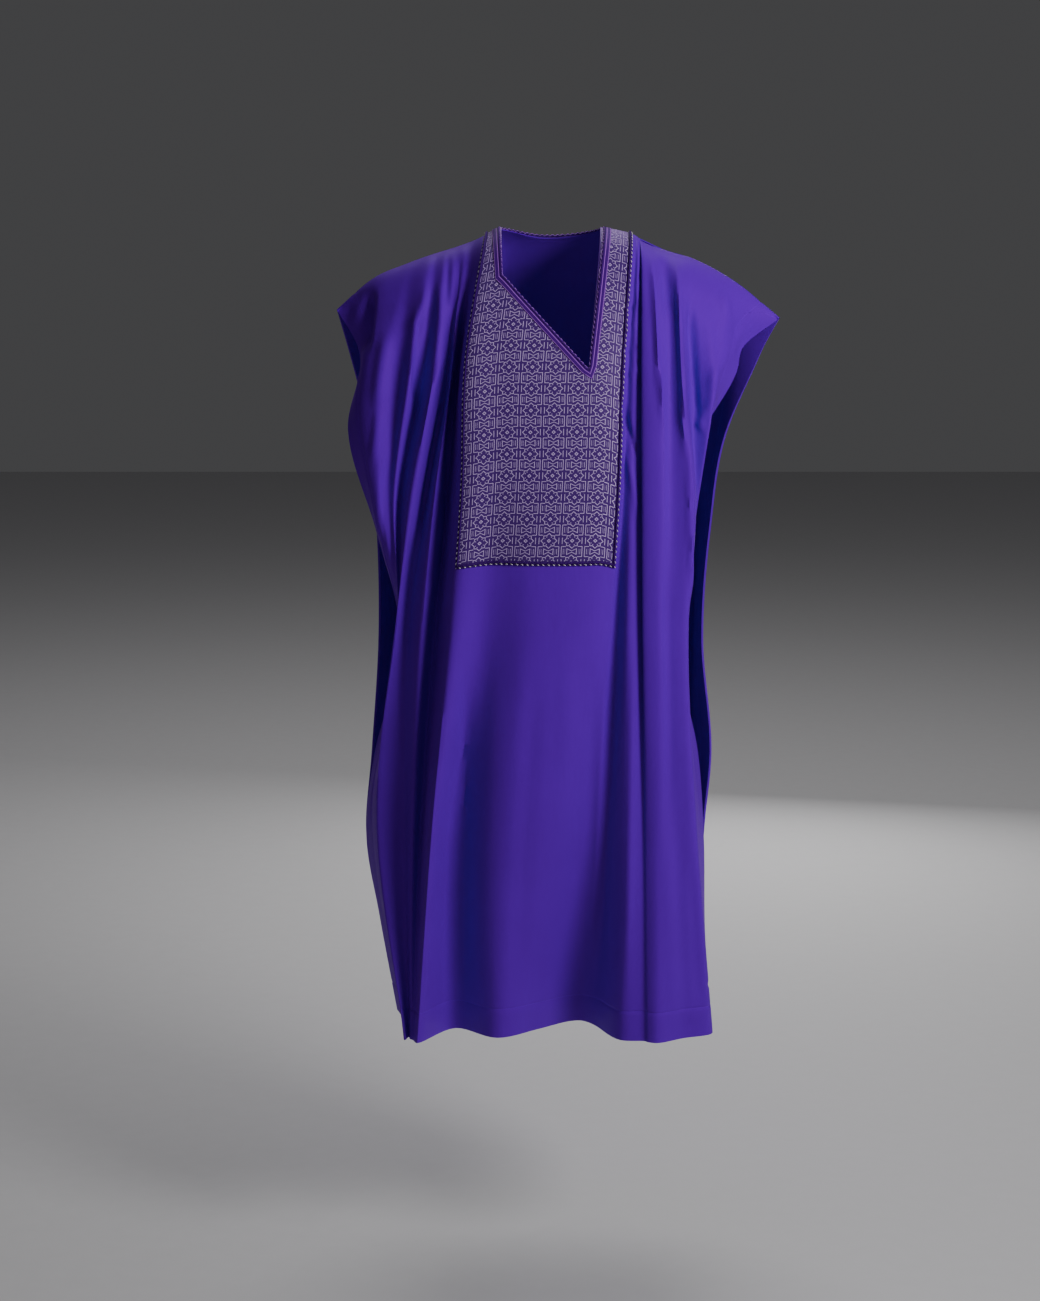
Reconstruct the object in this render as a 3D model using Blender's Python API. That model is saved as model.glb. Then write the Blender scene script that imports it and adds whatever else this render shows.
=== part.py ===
"""Grand boubou robe: one wide cloth front and one wide cloth back, joined along the
shoulders and the lower sides, with a brocade chest panel, rope braid and a neck binding.

Units are metres, +Z is up.  The wearer's front faces -Y.  The origin lies midway between
the two neck points of the shoulder seams, where the robe is held.  Lengths in the tables
are millimetres.  Every sheet is a set of fold lines that run from the shoulder seam down
to the hem; each level of the sheet is one smooth curve through those lines.
"""
import math
from collections import namedtuple

import bmesh
import bpy
import numpy as np
from mathutils import Vector

MM = 0.001

# driving sizes
HEM_HEIGHT = -1.190           # hem level below the neck points
WALL = 0.002                  # thickness of the robe's cloth
PANEL_WALL = 0.0015           # thickness of the chest panel
BINDING_WALL = 0.0012         # thickness of the neck binding
BINDING_WIDTH = 0.011
BRAID_WIDTH = 0.006           # the braid's foot, measured along the panel
BRAID_CROWN = 0.0015          # how far the braid's top steps in on each side
BRAID_HEIGHT = 0.0024
SEAM_GAP = 0.0003             # clearance between two pieces that are sewn together
BINDING_GAP = 0.0011          # the binding rides a little higher over the curved panel
ROUND_OVER = 0.080            # part of the drop in which the cloth rounds over the shoulder
PANEL_DROP = 0.402            # part of the drop at which the chest panel ends
SIDE_SEAM_START = 0.74        # part of the drop at which the side seams begin
ROUND_RADIUS = 0.090          # mean radius of that round
BACK_NECK_REACH = 0.45        # reach of the back neck scoop, as a part of the round's depth
BACK_NECK_BLEND = 0.030       # length over which the binding comes down onto the back
MITRE_LIMIT = 1.3             # most that the binding widens at a corner of the neck

# how finely the sheets are cut into facets
FRONT_STEPS = 2               # columns between two fold lines of the front
BACK_STEPS = 2
ROUND_ROWS = 6                # rows in the round over the shoulder
PANEL_ROWS = 6                # rows from there to the chest panel's end
SKIRT_ROWS = 8                # rows from the chest panel's end to the hem
NECK_SCOOP_SIDES = 16         # facets round the back neck scoop
SLANT_STEPS = 14              # facets along the slanted side of the V
CORNER_CLEARANCE = 0.01       # least part of the drop between a corner of the V and a row
SEARCH_COLUMNS = 60           # places tried when a column is looked up by its distance

# plain finishes of the solids
FRONT_COLOUR = (0.060, 0.020, 0.300)
BACK_COLOUR = (0.055, 0.018, 0.280)
BROCADE_COLOUR = (0.240, 0.180, 0.420)
BRAID_COLOUR = (0.120, 0.040, 0.300)
BINDING_COLOUR = (0.110, 0.020, 0.280)
CLOTH_ROUGHNESS = 0.6
BROCADE_ROUGHNESS = 0.45
TRIM_ROUGHNESS = 0.5

# helpers' own sizes
NORMAL_COLUMN_STEP = 0.02     # columns either side of a place, for its direction
NORMAL_DROP_STEP = 0.004      # parts of the drop above and below it
SAME_PLACE = 1e-6             # two places closer than this are one
CUT_ABOVE = 0.05              # how far the neck cuts start beyond the cloth
CUT_REACH = 0.03              # how far past an opening its cuts may score the cloth
SHARP_ANGLE = math.radians(60)

# levels of the fold tables, as parts of each line's own drop from shoulder to hem
ACROSS_LEVELS = (0.0, 0.16, 0.30, 0.46, 0.72, 1.0)
OUT_LEVELS = (0.05, 0.16, 0.30, 0.46, 0.72, 1.0)

# across: millimetres to the viewer's right of the middle, at the ACROSS_LEVELS
# out: millimetres in front of the shoulder seams' plane, at the OUT_LEVELS
Fold = namedtuple("Fold", "name across out")

#     name             top chest rib waist thigh hem         yoke chest rib waist thigh hem
FRONT_FOLDS = (
    Fold("wing_left", (-258, -274, -257, -224, -275, -231), (46, 84, 94, 54, 20, 18)),
    Fold("ridge_1", (-215, -250, -248, -223, -269, -226), (60, 92, 100, 66, 38, 36)),
    Fold("dip_1", (-203, -222, -236, -223, -266, -222), (64, 86, 94, 78, 52, 55)),
    Fold("ridge_2", (-178, -206, -228, -225, -262, -219), (73, 102, 98, 90, 66, 80)),
    Fold("valley_2", (-167, -189, -220, -222, -257, -218), (70, 82, 84, 92, 80, 116)),
    Fold("ridge_3", (-152, -171, -202, -227, -259, -217), (77, 106, 110, 100, 92, 146)),
    Fold("valley_3", (-140, -151, -181, -210, -220, -212), (75, 86, 91, 92, 90, 132)),
    Fold("ridge_4", (-130, -145, -168, -187, -204, -209), (77, 104, 117, 120, 112, 142)),
    Fold("valley_4", (-115, -136, -151, -169, -192, -205), (72, 76, 84, 92, 100, 146)),
    Fold("panel_left", (-97, -125, -130, -144, -174, -198), (84, 122, 140, 152, 158, 160)),
    Fold("neck_left", (-75, -75, -78, -94, -141, -143), (86, 125, 143, 144, 119, 90)),
    Fold("ridge_6", (-31, -31, -30, -36, -72, -80), (88, 127, 147, 158, 161, 136)),
    Fold("middle", (9, 9, 8, 6, -6, -18), (88, 128, 149, 159, 154, 94)),
    Fold("vee_point", (52, 52, 47, 42, 28, 28), (88, 128, 149, 156, 138, 58)),
    Fold("neck_right", (76, 76, 74, 68, 50, 46), (87, 126, 147, 150, 130, 54)),
    Fold("panel_right", (118, 103, 97, 86, 68, 57), (84, 121, 142, 141, 129, 62)),
    Fold("valley_6", (123, 109, 103, 94, 84, 68), (80, 115, 134, 134, 134, 78)),
    Fold("ridge_7", (126, 117, 114, 110, 110, 103), (83, 119, 139, 151, 157, 146)),
    Fold("pleat_under", (128, 138, 139, 137, 134, 139), (74, 110, 129, 143, 152, 151)),
    Fold("pleat_edge", (130, 127, 128, 130, 138, 144), (88, 126, 146, 156, 157, 156)),
    Fold("ridge_8", (145, 154, 156, 154, 156, 158), (90, 131, 151, 160, 162, 160)),
    Fold("dip_8", (168, 169, 171, 172, 181, 198), (84, 122, 143, 151, 152, 137)),
    Fold("ridge_9", (183, 187, 204, 196, 211, 240), (88, 127, 144, 146, 146, 118)),
    Fold("valley_9", (206, 200, 206, 195, 214, 243), (76, 95, 112, 110, 106, 86)),
    Fold("wing_right", (262, 232, 210, 193, 222, 244), (58, 102, 104, 82, 56, 44)),
)

#     name            top chest rib waist thigh hem          yoke chest rib waist thigh hem
BACK_FOLDS = (
    Fold("wing_left", (-262, -262, -256, -256, -268, -230), (-44, -68, -82, -84, -66, -50)),
    Fold("ridge_1", (-212, -236, -243, -246, -250, -214), (-70, -104, -122, -128, -126, -132)),
    Fold("dip_1", (-178, -200, -212, -216, -216, -172), (-74, -106, -122, -126, -122, -120)),
    Fold("ridge_2", (-140, -156, -170, -176, -172, -124), (-87, -126, -148, -156, -160, -172)),
    Fold("valley_2", (-112, -112, -118, -122, -116, -78), (-82, -118, -134, -138, -132, -112)),
    Fold("ridge_3", (-72, -66, -62, -62, -62, -34), (-89, -131, -153, -161, -162, -160)),
    Fold("dip_3", (-16, -14, -12, -10, -8, 6), (-88, -129, -148, -154, -150, -134)),
    Fold("ridge_4", (46, 44, 42, 42, 42, 56), (-89, -131, -153, -163, -168, -176)),
    Fold("valley_4", (92, 88, 86, 84, 84, 98), (-86, -122, -138, -142, -136, -112)),
    Fold("ridge_5", (128, 130, 134, 138, 142, 146), (-88, -128, -148, -156, -158, -158)),
    Fold("valley_5", (166, 172, 178, 182, 186, 190), (-78, -108, -120, -122, -116, -104)),
    Fold("ridge_6", (212, 220, 224, 220, 220, 226), (-70, -102, -116, -118, -114, -118)),
    Fold("wing_right", (270, 258, 240, 228, 232, 242), (-44, -70, -78, -76, -62, -52)),
)

# the sheets' own outer edges: free sleeve openings above, side seams below
Edge = namedtuple("Edge", "drop front_across front_out back_across back_out")
LEFT_EDGE = (
    Edge(0.00, -316, 0, -316, 0),
    Edge(0.05, -284, 20, -302, -16),
    Edge(0.16, -297, 62, -276, -40),
    Edge(0.30, -256, 74, -264, -52),
    Edge(0.46, -222, 40, -262, -48),
    Edge(0.62, -266, 11, -272, -18),
    Edge(SIDE_SEAM_START, -281, 0, -281, 0),
    Edge(0.86, -262, 0, -262, 0),
    Edge(1.00, -236, 0, -236, 0),
)
RIGHT_EDGE = (
    Edge(0.00, 337, 0, 337, 0),
    Edge(0.04, 282, 14, 316, -15),
    Edge(0.07, 273, 30, 303, -23),
    Edge(0.16, 217, 72, 266, -46),
    Edge(0.30, 200, 78, 244, -58),
    Edge(0.46, 190, 50, 234, -50),
    Edge(0.62, 224, 14, 246, -16),
    Edge(SIDE_SEAM_START, 235, 0, 235, 0),
    Edge(0.86, 238, 0, 238, 0),
    Edge(1.00, 243, 0, 243, 0),
)

# the shoulder seam seen from the front: distance from the middle and height
ShoulderPoint = namedtuple("ShoulderPoint", "across height")
SHOULDER_LEFT = (
    ShoulderPoint(-316, -118), ShoulderPoint(-300, -102), ShoulderPoint(-258, -70),
    ShoulderPoint(-215, -52), ShoulderPoint(-179, -39), ShoulderPoint(-143, -28),
    ShoulderPoint(-110, -16), ShoulderPoint(-78, 0),
)
SHOULDER_RIGHT = (
    ShoulderPoint(78, 0), ShoulderPoint(112, -7), ShoulderPoint(126, -12),
    ShoulderPoint(134, -21), ShoulderPoint(150, -25), ShoulderPoint(177, -35),
    ShoulderPoint(204, -42), ShoulderPoint(233, -56), ShoulderPoint(267, -75),
    ShoulderPoint(300, -97), ShoulderPoint(337, -130),
)

# the neck opening in the front, seen from the front: a slanted V
NeckPoint = namedtuple("NeckPoint", "across height")
FRONT_NECK = (
    NeckPoint(-75, 0), NeckPoint(-71, -68), NeckPoint(52, -200), NeckPoint(76, 0),
)


def smooth_value(places, values, place):
    """Value at one place of a smooth curve through the given places and values."""
    count = len(places)
    span = min(max(int(np.searchsorted(places, place)) - 1, 0), count - 2)
    width = places[span + 1] - places[span]
    part = (place - places[span]) / width

    def slope(point):
        if point == 0:
            return (values[1] - values[0]) / (places[1] - places[0])
        if point == count - 1:
            return (values[-1] - values[-2]) / (places[-1] - places[-2])
        before = places[point] - places[point - 1]
        after = places[point + 1] - places[point]
        rise_before = (values[point] - values[point - 1]) / before
        rise_after = (values[point + 1] - values[point]) / after
        return (rise_before * after + rise_after * before) / (before + after)

    ease = part * part * (3 - 2 * part)
    start_pull = part * (1 - part) ** 2 * width * slope(span)
    end_pull = part * part * (part - 1) * width * slope(span + 1)
    return values[span] * (1 - ease) + values[span + 1] * ease + start_pull + end_pull


def shoulder_height(across):
    """Height of the shoulder seam at a distance from the middle, in metres."""
    table = SHOULDER_LEFT if across < 0 else SHOULDER_RIGHT
    places = [point.across * MM for point in table]
    if places[0] <= across <= places[-1]:
        return smooth_value(places, [point.height * MM for point in table], across)
    return 0.0


def round_over(drop):
    """Quarter round that brings a line from the seam's plane to its full depth."""
    left = max(0.0, 1 - drop / ROUND_OVER)
    return math.sqrt(1 - left * left)


class FoldLine:
    """One line of a sheet from the shoulder seam to the hem."""

    def __init__(self, across_places, across, out_places, out, rounds=True):
        self.across_places = across_places
        self.across = [value * MM for value in across]
        self.out_places = out_places
        self.out = [value * MM for value in out]
        self.rounds = rounds
        self.top = shoulder_height(self.across[0])

    def point(self, drop):
        """Place of the line at a part of its drop."""
        x = smooth_value(self.across_places, self.across, drop)
        out = smooth_value(self.out_places, self.out, max(drop, self.out_places[0]))
        if self.rounds:
            out *= round_over(drop)
        z = self.top + (HEM_HEIGHT - self.top) * drop
        return np.array((x, -out, z))


class Sheet:
    """A cloth sheet that hangs from the shoulder seam through its fold lines."""

    def __init__(self, folds, left_edge, right_edge, outward):
        lines = [FoldLine(ACROSS_LEVELS, fold.across, OUT_LEVELS, fold.out) for fold in folds]
        self.lines = [self.edge_line(left_edge, outward)] + lines
        self.lines.append(self.edge_line(right_edge, outward))
        self.names = ["edge_left"] + [fold.name for fold in folds] + ["edge_right"]
        self.outward = outward

    @staticmethod
    def edge_line(edge, outward):
        drops = [row.drop for row in edge]
        if outward < 0:
            across = [row.front_across for row in edge]
            out = [row.front_out for row in edge]
        else:
            across = [row.back_across for row in edge]
            out = [row.back_out for row in edge]
        return FoldLine(drops, across, drops, out, rounds=False)

    def column(self, name):
        return self.names.index(name)

    def place(self, column, drop):
        """Point of the sheet at a column, which may lie between two fold lines."""
        last = len(self.lines) - 1
        span = min(max(int(math.floor(column)), 0), last - 1)
        part = column - span
        here = self.lines[span].point(drop)
        there = self.lines[span + 1].point(drop)
        width = math.sqrt(np.linalg.norm(there - here))

        def slope(middle, before, after):
            """Direction of the section at a line, weighted by how close its neighbours are."""
            to_before = math.sqrt(np.linalg.norm(middle - before))
            to_after = math.sqrt(np.linalg.norm(after - middle))
            rise_before = (middle - before) / to_before
            rise_after = (after - middle) / to_after
            return (rise_before * to_after + rise_after * to_before) / (to_before + to_after)

        if span > 0:
            start = slope(here, self.lines[span - 1].point(drop), there)
        else:
            start = (there - here) / width
        if span + 1 < last:
            end = slope(there, here, self.lines[span + 2].point(drop))
        else:
            end = (there - here) / width
        ease = part * part * (3 - 2 * part)
        pull = part * (1 - part) ** 2 * width * start + part * part * (part - 1) * width * end
        return here * (1 - ease) + there * ease + pull

    def outward_normal(self, column, drop):
        """Unit direction out of the robe at a place of the sheet."""
        last = len(self.lines) - 1
        right = self.place(min(column + NORMAL_COLUMN_STEP, last), drop)
        left = self.place(max(column - NORMAL_COLUMN_STEP, 0), drop)
        low = self.place(column, min(drop + NORMAL_DROP_STEP, 1.0))
        high = self.place(column, max(drop - NORMAL_DROP_STEP, 0.0))
        normal = np.cross(right - left, low - high) * self.outward
        return normal / np.linalg.norm(normal)

    def section_column(self, across, drop, first, final):
        """Column between two fold lines at which a level reaches a distance from the middle."""
        columns = np.linspace(first, final, SEARCH_COLUMNS)
        reached = [self.place(column, drop)[0] for column in columns]
        return float(np.interp(across, reached, columns))


def level_drops():
    """Parts of the drop at which the sheets have their rows, from seam to hem."""
    turns = [index / ROUND_ROWS * math.pi / 2 for index in range(ROUND_ROWS)]
    drops = [ROUND_OVER * (1 - math.cos(turn)) for turn in turns]
    drops += list(np.linspace(ROUND_OVER, PANEL_DROP, PANEL_ROWS + 1)[:-1])
    return drops + list(np.linspace(PANEL_DROP, 1.0, SKIRT_ROWS + 1))


def columns_between(first, final, steps):
    return list(np.linspace(first, final, (final - first) * steps + 1))


def face_grid(sheet, columns, drops, lift):
    """Points of a sheet, moved out by lift along the sheet's own direction.

    A place on a seam is moved within the seams' plane, and every point stays half a gap
    short of that plane, so that the two sheets meet face to face.
    """
    last = len(sheet.lines) - 1
    rows = []
    for drop in drops:
        row = []
        for column in columns:
            point = sheet.place(column, drop)
            normal = sheet.outward_normal(column, drop)
            if drop == 0 or (column in (0, last) and drop > SIDE_SEAM_START - SAME_PLACE):
                normal[1] = 0.0
                normal /= np.linalg.norm(normal)
            point = point + normal * lift
            point[1] = sheet.outward * max(sheet.outward * point[1], SEAM_GAP / 2)
            row.append(point)
        rows.append(row)
    return rows


def cloth_material(name, colour, roughness):
    material = bpy.data.materials.new(name)
    material.use_nodes = True
    shader = material.node_tree.nodes["Principled BSDF"]
    shader.inputs["Base Color"].default_value = (*colour, 1.0)
    shader.inputs["Roughness"].default_value = roughness
    shader.inputs["Metallic"].default_value = 0.0
    return material


def cut_opening(mesh_data, outline, along):
    """Cut a convex opening right through a sheet of faces.

    outline holds the opening's corners, in order, and along is the way it passes through.
    """
    outline = [Vector(corner) for corner in outline]
    middle = sum(outline, Vector()) / len(outline)
    sides = []
    for corner, following in zip(outline, outline[1:] + outline[:1]):
        facing = (following - corner).cross(Vector(along)).normalized()
        if facing.dot(middle - corner) > 0:
            facing.negate()
        sides.append((corner, facing))
    reach = max((corner - middle).length for corner in outline) + CUT_REACH
    for corner, facing in sides:
        near = [face for face in mesh_data.faces
                if (face.calc_center_median() - middle).cross(Vector(along)).length < reach]
        geometry = set(near)
        for face in near:
            geometry.update(face.edges)
            geometry.update(face.verts)
        bmesh.ops.bisect_plane(
            mesh_data, geom=list(geometry), dist=SAME_PLACE, plane_co=corner, plane_no=facing)
    opened = [
        face for face in mesh_data.faces
        if all((face.calc_center_median() - corner).dot(facing) < 0 for corner, facing in sides)
    ]
    bmesh.ops.delete(mesh_data, geom=opened, context="FACES")


def wall_object(name, outer, inner, material, ring=False, opening=None):
    """Closed wall between an outer and an inner grid of points, in one named object."""
    rows, columns = len(outer), len(outer[0])
    mesh_data = bmesh.new()
    bmesh.ops.create_grid(mesh_data, x_segments=columns - 1, y_segments=rows - 1, size=1.0)
    inward = mesh_data.verts.layers.float_vector.new("inward")
    for vert in mesh_data.verts:
        column = round((vert.co.x + 1) / 2 * (columns - 1))
        row = round((vert.co.y + 1) / 2 * (rows - 1))
        vert[inward] = Vector(inner[row][column] - outer[row][column])
        vert.co = Vector(outer[row][column])
    if ring:
        bmesh.ops.remove_doubles(mesh_data, verts=mesh_data.verts[:], dist=SAME_PLACE)
    if opening:
        cut_opening(mesh_data, *opening)
    wall = bmesh.ops.extrude_face_region(mesh_data, geom=mesh_data.faces[:])
    for item in wall["geom"]:
        if isinstance(item, bmesh.types.BMVert):
            item.co += item[inward]
    bmesh.ops.recalc_face_normals(mesh_data, faces=mesh_data.faces[:])
    mesh = bpy.data.meshes.new(name)
    mesh_data.to_mesh(mesh)
    mesh_data.free()
    mesh.shade_smooth()
    mesh.set_sharp_from_angle(angle=SHARP_ANGLE)
    mesh.materials.append(material)
    robe_object = bpy.data.objects.new(name, mesh)
    bpy.context.scene.collection.objects.link(robe_object)


def front_neck_opening():
    """The slanted V in the front, cut straight back."""
    corners = [(point.across * MM, 0.0, point.height * MM) for point in FRONT_NECK]
    corners[0] = (corners[0][0], 0.0, CUT_ABOVE)
    corners[-1] = (corners[-1][0], 0.0, CUT_ABOVE)
    return corners, (0.0, 1.0, 0.0)


def back_neck_opening():
    """The half round scoop in the back, cut straight down."""
    left, right = FRONT_NECK[0].across * MM, FRONT_NECK[-1].across * MM
    middle, half = (left + right) / 2, (right - left) / 2
    deep = BACK.place(BACK.column("dip_3"), ROUND_OVER)[1] * BACK_NECK_REACH
    corners = [(left, -CUT_ABOVE, 0.0)]
    for index in range(NECK_SCOOP_SIDES + 1):
        turn = math.pi * index / NECK_SCOOP_SIDES
        corners.append((middle - half * math.cos(turn), deep * math.sin(turn), 0.0))
    corners.append((right, -CUT_ABOVE, 0.0))
    return corners, (0.0, 0.0, 1.0)


def build_front(material):
    columns = columns_between(0, len(FRONT.lines) - 1, FRONT_STEPS)
    drops = level_drops()
    outer = face_grid(FRONT, columns, drops, 0.0)
    inner = face_grid(FRONT, columns, drops, -WALL)
    wall_object("front", outer, inner, material, opening=front_neck_opening())


def build_back(material):
    columns = columns_between(0, len(BACK.lines) - 1, BACK_STEPS)
    drops = level_drops()
    outer = face_grid(BACK, columns, drops, 0.0)
    inner = face_grid(BACK, columns, drops, -WALL)
    wall_object("back", outer, inner, material, opening=back_neck_opening())


def panel_points(lift):
    """The front's own points under the chest panel, moved out by lift."""
    columns = columns_between(FRONT.column("panel_left"), FRONT.column("panel_right"), FRONT_STEPS)
    drops = [drop for drop in level_drops() if drop <= PANEL_DROP + SAME_PLACE]
    return face_grid(FRONT, columns, drops, lift)


def build_chest_panel(material):
    """The brocade panel, on the front between its two panel lines."""
    outer = panel_points(SEAM_GAP + PANEL_WALL)
    inner = panel_points(SEAM_GAP)
    wall_object("chest_panel", outer, inner, material, opening=front_neck_opening())


def moved_towards(point, target, distance):
    """Point at a distance along the straight line towards another point."""
    way = target - point
    return point + way * (distance / np.linalg.norm(way))


def braid_strip(name, edges, neighbours, material):
    """A flat rope braid on the panel, along its edge points and towards their neighbours.

    edges and neighbours each hold the points at the braid's foot and at its top.
    """
    outer, inner = [], []
    for foot, foot_next, top, top_next in zip(edges[0], neighbours[0], edges[1], neighbours[1]):
        inner.append([foot, moved_towards(foot, foot_next, BRAID_WIDTH)])
        outer.append([
            moved_towards(top, top_next, BRAID_CROWN),
            moved_towards(top, top_next, BRAID_WIDTH - BRAID_CROWN),
        ])
    wall_object(name, outer, inner, material)


def build_braids(material):
    """Braid down both side edges of the chest panel and along its lower edge."""
    foot_lift = 3 * SEAM_GAP + PANEL_WALL
    layers = [panel_points(foot_lift), panel_points(foot_lift + BRAID_HEIGHT)]
    for name, edge, neighbour in (("braid_left", 0, 1), ("braid_right", -1, -2)):
        edges = [[row[edge] for row in layer] for layer in layers]
        neighbours = [[row[neighbour] for row in layer] for layer in layers]
        braid_strip(name, edges, neighbours, material.copy())
    clear_of_sides = BRAID_WIDTH + SEAM_GAP
    edges, neighbours = [], []
    for layer in layers:
        for rows, row in ((edges, layer[-1]), (neighbours, layer[-2])):
            short = list(row)
            short[0] = moved_towards(row[0], row[1], clear_of_sides)
            short[-1] = moved_towards(row[-1], row[-2], clear_of_sides)
            rows.append(short)
    braid_strip("braid_bottom", edges, neighbours, material.copy())


def cloth_distance(drop):
    """Distance along the cloth from the shoulder seam to a part of the drop."""
    if drop < ROUND_OVER:
        return ROUND_RADIUS * math.acos(1 - drop / ROUND_OVER)
    return ROUND_RADIUS * math.pi / 2 - (drop - ROUND_OVER) * HEM_HEIGHT


def drop_at(distance):
    """Part of the drop that lies at a distance along the cloth from the shoulder seam."""
    turn = distance / ROUND_RADIUS
    if turn < math.pi / 2:
        return ROUND_OVER * (1 - math.cos(turn))
    return ROUND_OVER - (distance - ROUND_RADIUS * math.pi / 2) / HEM_HEIGHT


def neck_path():
    """The neck edge laid flat: across, and distance from the seam, positive in the front."""
    left, corner, vee, right = [(p.across * MM, p.height * MM / HEM_HEIGHT) for p in FRONT_NECK]
    path = []
    drops = level_drops()
    for drop in [drop for drop in drops if drop < vee[1] - CORNER_CLEARANCE]:
        path.append((right[0] + (vee[0] - right[0]) * drop / vee[1], cloth_distance(drop)))
    for index in range(SLANT_STEPS):
        part = index / SLANT_STEPS
        drop = vee[1] + (corner[1] - vee[1]) * part
        path.append((vee[0] + (corner[0] - vee[0]) * part, cloth_distance(drop)))
    below_corner = [drop for drop in reversed(drops) if drop < corner[1] - CORNER_CLEARANCE]
    for drop in [corner[1]] + below_corner:
        path.append((left[0] + (corner[0] - left[0]) * drop / corner[1], cloth_distance(drop)))
    half, middle = (right[0] - left[0]) / 2, (right[0] + left[0]) / 2
    for index in range(1, NECK_SCOOP_SIDES):
        turn = math.pi * index / NECK_SCOOP_SIDES
        path.append((middle - half * math.cos(turn), -cloth_distance(back_scoop(math.cos(turn)))))
    return path


def back_scoop(share):
    """Drop of the neck scoop in the back at a share of the neck's half width."""
    reach = BACK_NECK_REACH * math.sqrt(max(0.0, 1 - share * share))
    return ROUND_OVER * (1 - math.sqrt(1 - reach * reach))


def build_neck_binding(material):
    """Binding strip round the whole neck edge, over the panel and over the back."""
    on_panel = SEAM_GAP + PANEL_WALL + BINDING_GAP
    search = {
        FRONT: (FRONT.column("panel_left"), FRONT.column("panel_right")),
        BACK: BACK_NECK_SEARCH,
    }

    def on_cloth(across, distance, wall):
        sheet = FRONT if distance >= 0 else BACK
        drop = drop_at(abs(distance))
        column = sheet.section_column(across, drop, *search[sheet])
        point = sheet.place(column, drop)
        normal = sheet.outward_normal(column, drop)
        if drop == 0:
            normal[1] = 0.0
            normal /= np.linalg.norm(normal)
        behind = min(1.0, max(0.0, -distance / BACK_NECK_BLEND))
        lift = on_panel + (BINDING_GAP - on_panel) * behind + wall
        return point + normal * lift

    path = [np.array(station) for station in neck_path()]
    top_grid, foot_grid = [], []
    for index, here in enumerate(path):
        before, after = path[index - 1], path[(index + 1) % len(path)]
        run_in = (here - before) / np.linalg.norm(here - before)
        run_out = (after - here) / np.linalg.norm(after - here)
        run = run_in + run_out
        away = np.array((run[1], -run[0])) / np.linalg.norm(run)
        turned = np.dot(run_in, run) / np.linalg.norm(run)
        far = here + away * BINDING_WIDTH * min(MITRE_LIMIT, 1 / turned)
        foot_grid.append([on_cloth(*here, 0.0), on_cloth(*far, 0.0)])
        top_grid.append([on_cloth(*here, BINDING_WALL), on_cloth(*far, BINDING_WALL)])
    top_grid.append(top_grid[0])
    foot_grid.append(foot_grid[0])
    wall_object("neck_binding", top_grid, foot_grid, material, ring=True)


def clear_scene():
    for old_object in list(bpy.data.objects):
        bpy.data.objects.remove(old_object, do_unlink=True)


FRONT = Sheet(FRONT_FOLDS, LEFT_EDGE, RIGHT_EDGE, -1)
BACK = Sheet(BACK_FOLDS, LEFT_EDGE, RIGHT_EDGE, 1)
BACK_NECK_SEARCH = (BACK.column("ridge_2"), BACK.column("ridge_5"))


def main():
    clear_scene()
    build_front(cloth_material("front_cloth", FRONT_COLOUR, CLOTH_ROUGHNESS))
    build_back(cloth_material("back_cloth", BACK_COLOUR, CLOTH_ROUGHNESS))
    build_chest_panel(cloth_material("panel_brocade", BROCADE_COLOUR, BROCADE_ROUGHNESS))
    build_braids(cloth_material("braid_cord", BRAID_COLOUR, TRIM_ROUGHNESS))
    build_neck_binding(cloth_material("binding_cloth", BINDING_COLOUR, TRIM_ROUGHNESS))


main()
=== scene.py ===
"""Looks of a grand boubou robe: purple twill front and back, brocade chest panel, twisted
rope braid round the panel, and a bound neck with rope piping.

Lengths in the tables are millimetres and everything else is in metres, +Z up, with the
wearer's front towards -Y.  The cloth pieces are thin shells through the same fold lines as
the model's own sheets, with finer creases laid over them.
"""
import math
from collections import namedtuple

import bmesh
import bpy
import numpy as np
from bpy.props import FloatProperty, FloatVectorProperty, IntProperty, PointerProperty
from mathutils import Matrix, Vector


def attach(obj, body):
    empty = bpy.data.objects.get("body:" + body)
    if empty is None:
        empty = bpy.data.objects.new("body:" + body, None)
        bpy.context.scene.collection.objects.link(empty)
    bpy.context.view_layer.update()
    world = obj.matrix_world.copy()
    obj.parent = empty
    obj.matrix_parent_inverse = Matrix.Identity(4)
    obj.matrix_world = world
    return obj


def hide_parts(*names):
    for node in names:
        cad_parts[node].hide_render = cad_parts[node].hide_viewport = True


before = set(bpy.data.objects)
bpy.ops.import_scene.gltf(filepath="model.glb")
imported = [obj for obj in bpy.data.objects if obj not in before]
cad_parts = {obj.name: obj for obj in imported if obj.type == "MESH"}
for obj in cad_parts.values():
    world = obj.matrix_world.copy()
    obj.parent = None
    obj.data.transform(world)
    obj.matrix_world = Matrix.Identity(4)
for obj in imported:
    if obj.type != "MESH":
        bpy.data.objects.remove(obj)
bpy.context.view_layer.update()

bl_info = {
    "name": "Grand Boubou Looks",
    "version": (1, 0, 0),
    "blender": (4, 5, 0),
    "location": "View3D > Sidebar > Boubou",
    "description": "Cloth, brocade, braid and neck binding of a grand boubou robe",
    "category": "Object",
}

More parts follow.
